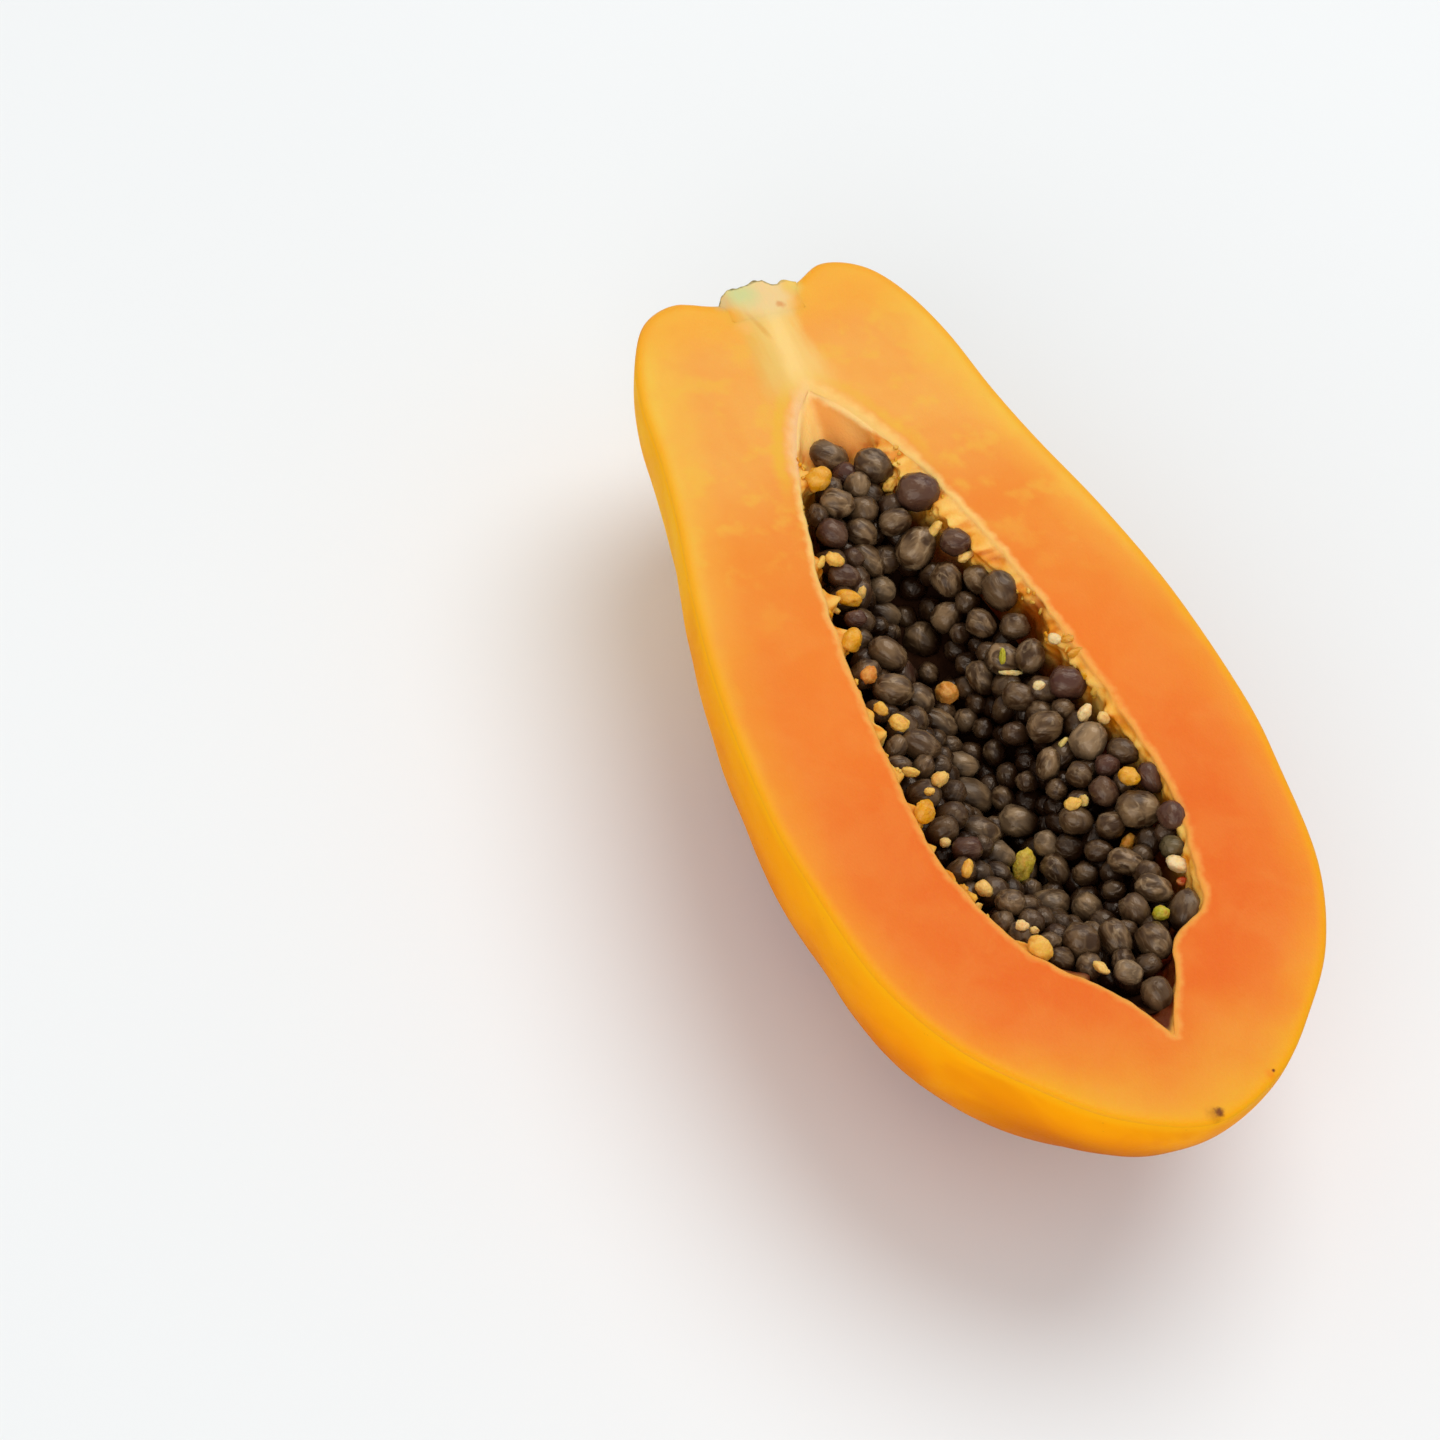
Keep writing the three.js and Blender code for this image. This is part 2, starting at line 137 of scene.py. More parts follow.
# The seeds that show from the camera, in millimetres on the plane that faces it through the
# heap's middle: how far right and up, long and short axis, the long axis's turn in degrees, how
# deep the seed lies, and its tone: below 0.2 greenish, rising from light to dark, above 0.8 purple.
SIGHT_MIDDLE = (0, -5, 0)
SHOWN_SEEDS = (
    (-26.9, 41.0, 7.0, 6.0, -10, 0.0, 0.5), (-19.3, 39.6, 6.6, 6.0, -20, 0.0, 0.6),
    (-11.9, 35.4, 7.4, 6.6, -10, 0.0, 0.86), (-23.6, 37.8, 5.2, 4.4, -60, 1.6, 0.84),
    (-22.0, 36.4, 5.0, 4.4, 60, 1.2, 0.24), (-19.8, 34.6, 5.4, 4.8, -30, 2.0, 0.6),
    (-25.3, 33.4, 5.8, 5.4, 0, 0.2, 0.3), (-16.4, 33.0, 4.6, 4.2, 40, 1.4, 0.84),
    (-15.7, 30.5, 5.6, 4.8, 0, 0.8, 0.55), (-25.9, 28.4, 5.6, 4.8, -50, 0.4, 0.82),
    (-21.3, 28.6, 5.8, 4.8, -30, 0.8, 0.4), (-12.2, 26.2, 7.4, 6.2, 60, 0.0, 0.35),
    (-20.3, 24.0, 6.8, 4.8, -38, 0.4, 0.4), (-24.0, 21.4, 5.6, 4.2, -10, 0.5, 0.84),
    (-5.6, 27.2, 5.4, 4.8, -15, 0.6, 0.86), (-7.1, 20.8, 6.0, 5.4, -60, 0.2, 0.4),
    (-18.0, 19.2, 5.2, 4.6, -20, 0.0, 0.15), (-12.7, 19.5, 4.8, 4.4, 0, 4.0, 0.7),
    (-18.0, 15.1, 6.8, 5.8, -15, 0.0, 0.15), (-14.0, 14.4, 5.0, 4.2, -70, 1.4, 0.5),
    (-22.2, 14.5, 3.6, 3.0, 0, 0.6, 0.84), (-11.3, 10.9, 6.4, 5.8, -30, 0.0, 0.2),
    (-16.9, 8.6, 6.8, 5.2, -20, 0.0, 0.55), (-16.7, 12.0, 4.0, 3.4, 30, 1.2, 0.4),
    (-7.0, 14.9, 5.6, 5.0, 50, 0.6, 0.4), (-1.5, 13.7, 5.4, 4.8, -40, 0.6, 0.4),
    (-5.5, 9.0, 4.6, 3.8, -30, 2.6, 0.5), (-10.3, 5.2, 3.8, 4.2, 0, 1.8, 0.4),
    (-1.5, 4.8, 6.0, 4.4, -65, 0.4, 0.24), (-16.2, 2.8, 6.8, 5.4, -10, 0.0, 0.3),
    (-11.9, 1.2, 5.6, 4.8, -45, 0.2, 0.22), 
    (-2.0, 21.0, 5.0, 4.6, -50, 0.4, 0.45), (1.7, 19.1, 7.0, 5.8, -60, 0.0, 0.76),
    (4.1, 13.2, 5.0, 4.6, 0, 0.8, 0.6), (6.6, 8.3, 5.8, 5.2, 60, 0.2, 0.5),
    (2.2, 7.8, 5.8, 5.2, -30, 0.8, 0.28), (-0.4, 8.9, 4.0, 3.8, 0, 2.0, 0.74),
    (4.8, 1.6, 5.8, 4.8, -10, 0.6, 0.66), (12.8, 3.8, 6.4, 5.8, -20, 0.0, 0.86),
    (-9.1, -2.9, 7.2, 5.2, -25, 0.0, 0.18), (-4.0, -2.4, 4.4, 4.2, -50, 0.8, 0.22),
    (-11.6, -6.5, 7.0, 5.0, -20, 0.0, 0.6), (-6.7, -6.7, 4.4, 4.0, 0, 1.4, 0.4),
    (-4.8, -9.8, 5.8, 4.8, 0, 0.0, 0.15), (-3.7, -15.0, 8.0, 6.6, -12, 0.0, 0.2),
    (2.1, -15.4, 4.8, 4.2, -50, 1.0, 0.35), (4.6, -19.1, 6.8, 5.4, -18, 0.0, 0.2),
    (-2.0, -20.7, 7.2, 5.2, -8, 0.0, 0.22), (0.8, -7.7, 4.6, 3.8, -60, 1.8, 0.3),
    (9.1, -3.3, 6.0, 5.4, 25, 0.2, 0.5), (9.5, -9.4, 5.4, 4.4, 80, 0.6, 0.3),
    (5.9, -9.2, 3.4, 3.2, 0, 4.0, 0.5), (9.3, -16.3, 3.8, 3.6, 0, 4.0, 0.5),
    (9.4, -22.7, 4.8, 4.0, -40, 0.0, 0.15), (1.1, -24.6, 6.0, 5.0, -20, 0.0, 0.18),
    (-3.8, -23.6, 5.0, 4.2, 10, 0.9, 0.82), (16.2, -5.6, 6.6, 5.8, 60, 0.0, 0.15),
    (12.0, -0.4, 3.8, 3.4, 20, 1.8, 0.5), (21.9, -7.4, 5.2, 4.2, -10, 0.8, 0.7),
    (19.3, -9.8, 4.2, 4.0, 0, 1.4, 0.84), (14.8, -11.3, 4.4, 4.2, -20, 1.0, 0.56),
    (18.8, -14.1, 5.0, 4.6, -60, 0.5, 0.84), (14.2, -18.7, 5.8, 5.0, -10, 0.4, 0.65),
    (24.4, -16.9, 7.0, 6.4, 0, 0.0, 0.3), (29.9, -18.0, 4.8, 4.6, -60, 0.4, 0.9),
    (28.9, -20.9, 3.8, 3.6, 0, 1.4, 0.84), (26.1, -22.2, 5.0, 4.4, 80, 2.4, 0.78),
    (26.4, -11.8, 5.4, 3.6, -60, 0.6, 0.88),
    (30.2, -23.2, 4.4, 3.8, 0, 1.0, 0.02), (19.8, -19.6, 4.8, 4.6, 0, 1.4, 0.6),
    (10.8, -16.6, 4.0, 3.6, 0, 3.8, 0.5), (17.9, -23.9, 4.6, 4.0, 0, 1.6, 0.76),
    (10.9, -26.9, 5.6, 4.4, -65, 0.2, 0.35), (3.4, -32.4, 4.8, 4.4, 0, 0.2, 0.5),
    (9.9, -33.0, 6.6, 5.8, 20, 0.0, 0.24), (15.8, -27.7, 4.4, 4.0, -20, 1.4, 0.45),
    (16.1, -33.6, 5.6, 5.0, -60, 0.0, 0.16), (15.0, -38.9, 6.4, 6.0, -20, 0.0, 0.55),
    (20.6, -38.4, 6.6, 5.2, -68, 0.0, 0.4), (23.8, -33.7, 5.4, 4.8, -50, 0.4, 0.7),
    (22.8, -43.9, 4.6, 3.8, -20, 0.6, 0.1), (6.6, -30.2, 3.8, 3.6, 60, 1.0, 0.5),
    (22.4, -25.6, 5.8, 4.2, -30, 0.6, 0.35), (27.0, -30.0, 6.2, 4.6, -15, 0.2, 0.25),
    (32.1, -33.8, 6.8, 5.4, 75, 0.6, 0.7), (27.1, -38.8, 6.2, 5.4, -50, 0.2, 0.45),
    (20.4, -30.5, 4.0, 3.8, 0, 2.6, 0.5), (27.7, -47.8, 6.2, 5.0, -60, 0.2, 0.6),
)
# Scraps of pulp and pale seeds among them: where each shows, as above, its long and short axis, the long
# axis's turn in degrees, and its ripeness from green to red.
BITS = (
    (-28.3, 37.8, 4.8, 4.4, 30, 0.62), (-16.5, 36.7, 3.4, 2.2, 60, 0.52),
    (-25.7, 24.3, 3.6, 2.6, -20, 0.5), (-9.1, 29.3, 3.4, 2.0, 50, 0.48),
    (-4.0, 24.8, 3.2, 1.6, 25, 0.46), (-23.3, 17.9, 4.6, 3.3, -20, 0.6),
    (-21.2, 18.8, 2.4, 1.6, 70, 0.46), (-22.6, 11.3, 4.4, 4.0, 80, 0.6),
    (-20.0, 5.3, 3.2, 2.8, 60, 0.78),
    (-18.0, -0.4, 2.8, 2.0, -40, 0.54), (-15.0, -2.7, 3.6, 2.8, -30, 0.5),
    (-7.1, 2.3, 4.2, 4.2, 0, 0.74), (2.0, 8.3, 3.0, 1.3, 85, 0.14), (3.3, 5.6, 4.2, 1.0, 5, 0.3),
    (10.6, 11.2, 2.4, 1.8, -20, 0.36), (8.0, 3.5, 2.2, 1.6, 20, 0.32),
    (15.6, -1.0, 3.2, 2.2, 55, 0.37), (18.7, -1.9, 2.3, 2.0, -40, 0.42),
    (12.0, -5.9, 2.2, 1.0, 50, 0.26), (23.0, -11.5, 3.8, 3.2, -30, 0.6),
    (13.6, -16.0, 3.0, 2.2, 20, 0.5), (15.4, -15.5, 2.0, 1.8, 60, 0.26),
    (22.7, -22.4, 3.4, 2.4, 55, 0.7), (31.0, -26.0, 4.2, 2.6, -20, 0.35),
    (31.6, -28.8, 2.0, 1.6, 10, 0.96), (-13.2, -10.8, 3.2, 1.6, -15, 0.5),
    (-8.3, -11.9, 3.2, 2.8, 30, 0.47), (-10.0, -14.0, 1.8, 1.4, 0, 0.5),
    (-10.7, -17.0, 4.2, 3.8, 60, 0.62), (-7.4, -22.4, 1.9, 1.7, 0, 0.42),
    (-3.8, -26.7, 3.2, 2.2, 80, 0.54), (-1.0, -30.1, 3.2, 2.8, -40, 0.46),
    (5.4, -26.2, 6.2, 3.8, 62, 0.21), (5.3, -36.1, 2.3, 1.9, 0, 0.4),
    (7.3, -36.9, 1.6, 1.3, 0, 0.42), (8.4, -39.5, 4.8, 3.6, -40, 0.54),
    (18.3, -43.1, 3.2, 1.8, -30, 0.46), (28.2, -34.1, 2.9, 2.8, 0, 0.14),
)


def smooth(t):
    s = np.clip(t, 0, 1)
    return s * s * (3 - 2 * s)


def scatter(points, size, shift=0.0):
    """Smooth noise from -1 to 1 at each point, with features about size across."""
    rows = points.reshape(-1, 3)
    values = [noise.noise(Vector(p) / size + Vector((shift, shift, shift))) for p in rows]
    return np.array(values).reshape(points.shape[:-1])


# ------------------------------------------------------------------ outlines
def curve_points(outline, half_width, length, steps, rounded):
    """Points down a half outline, as the CAD model draws it."""
    points = np.array(outline, float) * (half_width, length)
    ends = (points[1] * (-1, 1), points[-2] * (-1, 1)) if rounded else (points[0], points[-1])
    knots = np.vstack((ends[0], points, ends[1]))
    last = len(knots) - 1
    along = last * (1 / last + (last - 2) / last * np.arange(steps + 1) / steps)
    knot = np.floor(along).astype(int)
    w = (along - knot)[:, None]
    p0, p1, p2, p3 = (knots[np.clip(knot + i, 0, last)] for i in (-1, 0, 1, 2))
    v0 = (p2 - p0) * 0.5
    v1 = (p3 - p1) * 0.5
    made = (2 * p1 - 2 * p2 + v0 + v1) * w**3 + (-3 * p1 + 3 * p2 - 2 * v0 - v1) * w**2 + v0 * w + p1
    made[0, 0] = made[-1, 0] = 0
    return made


def evenly(points, count):
    """The same line with its points an equal way apart."""
    run = np.concatenate(([0], np.cumsum(np.linalg.norm(np.diff(points, axis=0), axis=1))))
    at = np.linspace(0, run[-1], count + 1)
    return np.stack([np.interp(at, run, points[:, i]) for i in (0, 1)], 1)


def lobed(x, z, height):
    return 1 + height * np.cos(LOBES * (np.arctan2(z, x) + math.pi / 2))


def shape_body(x, y, z):
    fade = smooth((LENGTH / 2 - np.abs(y)) / LOBE_FADE)
    share = lobed(x, z, LOBE_HEIGHT * fade)
    bow = BOW * smooth((BOW_FROM - y) / BOW_RUN)
    skew = SHOULDER_SKEW * smooth((y - SHOULDER_FROM) / SHOULDER_RUN)
    lean = skew * np.clip(x / SHOULDER_HALF_GAP, -1, 1)
    depth = DEPTH_RATIO * (1 + NECK_DEPTH * smooth((y - NECK_FROM) / NECK_RUN))
    return np.stack((x * share - bow, y + lean, z * share * depth), -1)


body_line = evenly(curve_points(BODY_OUTLINE, HALF_WIDTH, LENGTH, FINE_STEPS, True), STATIONS)
cavity_line = evenly(curve_points(CAVITY_OUTLINE, CAVITY_HALF_WIDTH, LENGTH, FINE_STEPS, False), STATIONS)
cavity_table = curve_points(CAVITY_OUTLINE, CAVITY_HALF_WIDTH, LENGTH, 160, False)
edges = {side: shape_body(side * body_line[:, 0], body_line[:, 1], 0 * body_line[:, 0]) for side in (1, -1)}
edge_all = np.vstack((edges[1], edges[-1]))
middle = (edge_all.min(0) + edge_all.max(0)) / 2
cut_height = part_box("flesh")[1][2] * 1000
OFFSET = np.array((-middle[0], -middle[1], cut_height))
EYE = np.array(CAMERA_PLACE) * 1000 - OFFSET


def placed(points):
    """Millimetres round the cut face as metres in the frame."""
    return (np.asarray(points, float) + OFFSET) / 1000


# ------------------------------------------------------------------ mesh making
def grid_faces(rows, columns, start, flip=False):
    faces = []
    for i in range(rows - 1):
        for j in range(columns - 1):
            a = start + i * columns + j
            quad = (a, a + 1, a + columns + 1, a + columns)
            faces.append(quad[::-1] if flip else quad)
    return faces


def into_scene(name, data):
    piece = bpy.data.objects.new(name, data)
    bpy.context.scene.collection.objects.link(piece)
    return piece


def piece_from(name, points, faces, materials, kinds=None, values=None):
    """A closed, smooth piece from points in millimetres. Points that meet become one."""
    _, first, where = np.unique(np.round(points, 4), axis=0, return_index=True, return_inverse=True)
    where = where.reshape(-1)
    kept_faces, kept_kinds = [], []
    for face, kind in zip(faces, kinds or [0] * len(faces)):
        corners = list(dict.fromkeys(int(where[i]) for i in face))
        if len(corners) > 2:
            kept_faces.append(corners)
            kept_kinds.append(kind)
    mesh = bpy.data.meshes.new(name)
    mesh.from_pydata(placed(points[first]).tolist(), [], kept_faces)
    for material in materials:
        mesh.materials.append(material)
    mesh.polygons.foreach_set("material_index", kept_kinds)
    mesh.polygons.foreach_set("use_smooth", [True] * len(mesh.polygons))
    for label, numbers in (values or {}).items():
        layer = mesh.attributes.new(label, "FLOAT", "POINT")
        layer.data.foreach_set("value", np.asarray(numbers, np.float32)[first])
    turner = bmesh.new()
    turner.from_mesh(mesh)
    bmesh.ops.recalc_face_normals(turner, faces=turner.faces)
    turner.to_mesh(mesh)
    turner.free()
    mesh.update()
    return into_scene(name, mesh)


# ------------------------------------------------------------------ the fruit
def rim_points(side):
    """The cavity's rim on one side. The cut leaves it a little ragged along the seeds."""
    line = cavity_line.copy()
    slope = np.gradient(line, axis=0)
    slope /= np.linalg.norm(slope, axis=1)[:, None]
    outward = np.stack((-slope[:, 1], slope[:, 0]), 1)
    outward *= np.sign(outward[:, :1] + 1e-9)
    y = line[:, 1]
    seeded = smooth((SEED_TOP + 4 - y) / 8) * smooth((y + 72) / 10)
    here = np.stack((line[:, 0] * side, y, 0 * y), 1)
    wander = RIM_WANDER * seeded * (0.6 * scatter(here, 6.0, 3.0) + 0.5 * scatter(here, 2.4, 9.0))
    if side > 0:
        for at, run, reach in RIM_STEPS:
            wander += reach * np.exp(-(((y - at) / run) ** 2))
    moved = line + outward * wander[:, None]
    moved[:, 0] = np.maximum(moved[:, 0], 0)
    moved[0, 0] = moved[-1, 0] = 0
    return moved * (side, 1)


def nearest(points, lines):
    """How far each point of the cut face is from the nearest of the lines."""
    line = []
    for points_along in lines:
        count = (len(points_along) - 1) * 8
        at = np.linspace(0, len(points_along) - 1, count + 1)
        line += list(zip(*(np.interp(at, np.arange(len(points_along)), points_along[:, i]) for i in (0, 1))))
    tree = kdtree.KDTree(len(line))
    for i, p in enumerate(line):
        tree.insert((p[0], p[1], 0), i)
    tree.balance()
    ways = [tree.find((p[0], p[1], 0))[2] for p in points.reshape(-1, 2)]
    return np.array(ways).reshape(points.shape[:-1])


def face_height(flat, to_skin, to_cavity):
    """The cut face's waves, its edges rounded over and a low swell round the cavity."""
    x, y = flat[..., 0], flat[..., 1]
    points = np.stack((x, y, 0 * x), -1)
    wave = FACE_WAVE * (scatter(points, 17.0, 1.0) + 0.4 * scatter(points, 5.0, 2.0) - 0.6)
    at_stub = np.exp(-((np.hypot(x - STUB_SHIFT, y - 90) / 8) ** 4))
    edge = -EDGE_DROOP * np.exp(-to_skin / EDGE_RUN)
    bare = smooth((y - 44) / 10)
    lip_droop = LIP_DROOP + (BARE_LIP_DROOP - LIP_DROOP) * bare
    lip = -lip_droop * np.exp(-to_cavity / (LIP_RUN + (BARE_LIP_RUN - LIP_RUN) * bare))
    swell = LIP_SWELL * np.exp(-(((to_cavity - LIP_AT) / 0.9) ** 2))
    height = wave * smooth(to_skin / 4) * smooth(to_cavity / 3) + edge + lip + swell
    return height * (1 - at_stub)


def joined_to_face(grid, lines, heights, ring, fade):
    """A grid's two outer columns moved on to the cut face's edges, and what is near them with them."""
    middle_column = grid.shape[1] // 2
    for side, column, half in ((1, 0, slice(0, middle_column)), (-1, -1, slice(middle_column, None))):
        if fade is not None:
            shift = lines[side] - grid[:, column, :2]
            grid[:, half, :2] += shift[:, None, :] * fade[:, half]
        height = heights[side][:, ring]
        grid[:, half, 2] += height[:, None] * np.exp(grid[:, half, 2] / 2)
        grid[:, column, :2] = lines[side]
        grid[:, column, 2] = height
    return grid


def skin_points(heights):
    """The skin, from the right edge down under the fruit and up to the left edge."""
    angle = np.linspace(0, -math.pi, SKIN_SECTORS + 1)
    r, y = body_line[:, :1], body_line[:, 1:]
    skin = shape_body(r * np.cos(angle), y + 0 * angle, r * np.sin(angle))
    normals = np.cross(np.gradient(skin, axis=0), np.gradient(skin, axis=1))
    normals /= np.maximum(np.linalg.norm(normals, axis=-1), 1e-9)[..., None]
    normals *= np.sign((normals * (skin - (0, 0, 4))).sum(-1))[..., None]
    wave = scatter(skin, 21.0, 5.0) + 0.5 * scatter(skin, 8.0, 6.0)
    lowest = skin[..., 2].min() + REST_CUT
    skin = skin + normals * (SKIN_WAVE * wave * smooth(-skin[..., 2] / 5))[..., None]
    skin[..., 2] = lowest + REST_BLEND * np.log1p(np.exp((skin[..., 2] - lowest) / REST_BLEND))
    return joined_to_face(skin, {side: edges[side][:, :2] for side in edges}, heights, -1, None)


def wall_points(rims, heights):
    """The cavity's wall, lumpy where the seeds sat on it, and how far each lump stands out."""
    even = np.linspace(0, 1, WALL_SECTORS + 1)
    angle = -math.pi * (even - WALL_CROWDING * np.sin(2 * math.pi * even) / (2 * math.pi))
    r, y = cavity_line[:, :1], cavity_line[:, 1:]
    x, z = r * np.cos(angle), r * np.sin(angle)
    share = lobed(x, z, CAVITY_STAR)
    wall = np.stack((x * share, y + 0 * x, z * share * CAVITY_DEPTH_RATIO), -1)
    seeded = smooth((SEED_TOP + 1 - wall[..., 1]) / 5)
    under = -wall[..., 2]
    rough = 0.6 * scatter(wall, 2.8, 7.0) + 0.55 * scatter(wall, 1.3, 12.0)
    pulp = np.array([pulp_depth(p[0], p[1]) for p in wall.reshape(-1, 3)]).reshape(under.shape)
    pulp *= smooth((12 - under) / 8)
    uneven = WALL_LUMPS * rough * smooth(under / 0.9) * np.clip(0.5 + pulp / 2.5, 0, 1.3)
    smoothed = 0.2 * scatter(wall, 5.0, 8.0) * smooth(under / 4)
    lean = BARE_WALL_LEAN * (1 - np.exp(-under / BARE_LEAN_RUN)) * (1 - seeded)
    lump = (pulp * smooth(under / SHELF_DROP) + uneven) * seeded + smoothed + lean
    reach = np.maximum(np.hypot(wall[..., 0], wall[..., 2]), 1e-6)
    inward = np.clip(1 - lump * smooth(reach / 5) / reach, 0.3, 1.2)
    wall *= np.stack((inward, 1 + 0 * inward, inward), -1)
    wall = joined_to_face(wall, rims, heights, 0, np.exp(wall[..., 2:] / 4))
    return wall, np.clip(0.5 + rough, 0, 1)


def fruit_piece(materials):
    """The half fruit in one closed skin: the two sides of its cut face, its skin and its cavity."""
    rims = {side: rim_points(side) for side in (1, -1)}
    share = np.array(FACE_RINGS)[None, :, None]
    heights = {}
    grids = []  # each with its material, how far it is from skin and cavity, and its lumps
    for side in (1, -1):
        flat = rims[side][:, None, :] * (1 - share) + edges[side][:, None, :2] * share
        skin_way = nearest(flat, [edges[1][:, :2], edges[-1][:, :2]])
        cavity_way = nearest(flat, [rims[1], rims[-1]])
        heights[side] = face_height(flat, skin_way, cavity_way)
        face = np.concatenate((flat, heights[side][..., None]), -1)
        grids.append((face, 0, skin_way, cavity_way, SMOOTH_LUMP))
    grids.append((skin_points(heights), 1, 0, FAR, SMOOTH_LUMP))
    wall, lump = wall_points(rims, heights)
    grids.append((wall, 2, FAR, 0, lump))
    points, faces, kinds = [], [], []
    values = {"to_skin": [], "to_cavity": [], "lump": []}
    for grid, kind, *numbers in grids:
        new = grid_faces(*grid.shape[:2], len(points))
        faces += new
        kinds += [kind] * len(new)
        points += grid.reshape(-1, 3).tolist()
        for label, number in zip(values, numbers):
            values[label] += np.broadcast_to(number, grid.shape[:2]).ravel().tolist()
    return piece_from("papaya_flesh", np.array(points), faces, materials, kinds, values)


# ------------------------------------------------------------------ the seeds' places
def cavity_at(y):
    """The cavity's half width at y, and how it changes along y."""
    if y >= cavity_table[0, 1] or y <= cavity_table[-1, 1]:
        return 0.0, 0.0
    i = max(int(np.searchsorted(-cavity_table[:, 1], -y, side="left")) - 1, 0)
    (ax, ay), (bx, by) = cavity_table[i:i + 2]
    slope = (bx - ax) / (by - ay)
    return ax + slope * (y - ay), slope


def ease(t):
    s = min(1.0, max(0.0, t))
    return s * s * (3 - 2 * s)


def bed_level(x, y):
    """The heap's top: two banks with a hollow between them, ending in a front towards the stem."""
    half_width, _ = cavity_at(y)
    centre = GROOVE_WANDER * math.sin(y / GROOVE_WAVE)
    t = min(1.0, max(-1.0, (x - centre) / max(half_width, 1)))
    opened = ease((GROOVE_TOP - y) / GROOVE_RUN) * ease((y - GROOVE_BOTTOM) / GROOVE_RUN)
    groove = GROOVE_DEPTH * math.exp((-t * t) / (GROOVE_WIDTH * GROOVE_WIDTH))
    front = CAVITY_HALF_WIDTH * 2 * ease((y - SEED_TOP) / FRONT_RUN + 0.5)
    return -opened * (groove + BANK_SLOPE * (1 - t * t)) - front


def bed_steepness(x, y):
    """How much of a way straight down from the heap's top is square to it."""
    step = 0.25
    dx = (bed_level(x + step, y) - bed_level(x - step, y)) / (2 * step)
    dy = (bed_level(x, y + step) - bed_level(x, y - step)) / (2 * step)
    return 1 / math.sqrt(dx * dx + dy * dy + 1)


def pulp_depth(x, y):
    """How thick the pulp is that still clings to the wall, on this side at this height."""
    side = 1 if x > 0 else -1
    width = PULP_LEFT
    if side > 0:
        width = 0.3 + (PULP_RIGHT + PULP_NECK * ease((y + 14) / 44)) * ease((y + 56) / 14)
    for lobe_side, at, reach, run in PULP_LOBES:
        if lobe_side == side:
            width += reach * math.exp(-(((y - at) / run) ** 2))
    wave = noise.noise(Vector((side * 9, y / 4.5, 2.0)))
    wave += 0.5 * noise.noise(Vector((side * 5, y / 2.1, 6.0)))
    return max(0.15, width * (1 + 0.5 * wave))


# ------------------------------------------------------------------ nodes
def tint(red, green, blue):
    """A screen colour from 0 to 255 as the linear colour that shaders take."""
    linear = [c / 12.92 if c <= 0.04045 else ((c + 0.055) / 1.055) ** 2.4
              for c in (v / 255 for v in (red, green, blue))]
    return (*linear, 1.0)


def lit(red, green, blue):
    """The surface colour that shows as this screen colour on the cut face, under the studio's light."""
    return tuple(max(0.0, (c - VEIL) / GAIN) for c in tint(red, green, blue)[:3]) + (1.0,)


class Field:
    """What a node puts out at every point. Sums with it add nodes to its tree."""

    def __init__(self, nodes, socket):
        self.nodes = nodes
        self.socket = socket

    def __add__(self, other):
        return self.nodes.sums("ADD", self, other)

    def __sub__(self, other):
        return self.nodes.sums("SUBTRACT", self, other)

    def __mul__(self, other):
        return self.nodes.sums("MULTIPLY", self, other)

    def __truediv__(self, other):
        return self.nodes.sums("DIVIDE", self, other)

    def __rtruediv__(self, other):
        return self.nodes.sums("DIVIDE", other, self)

    def __abs__(self):
        return self.nodes.sums("ABSOLUTE", self)


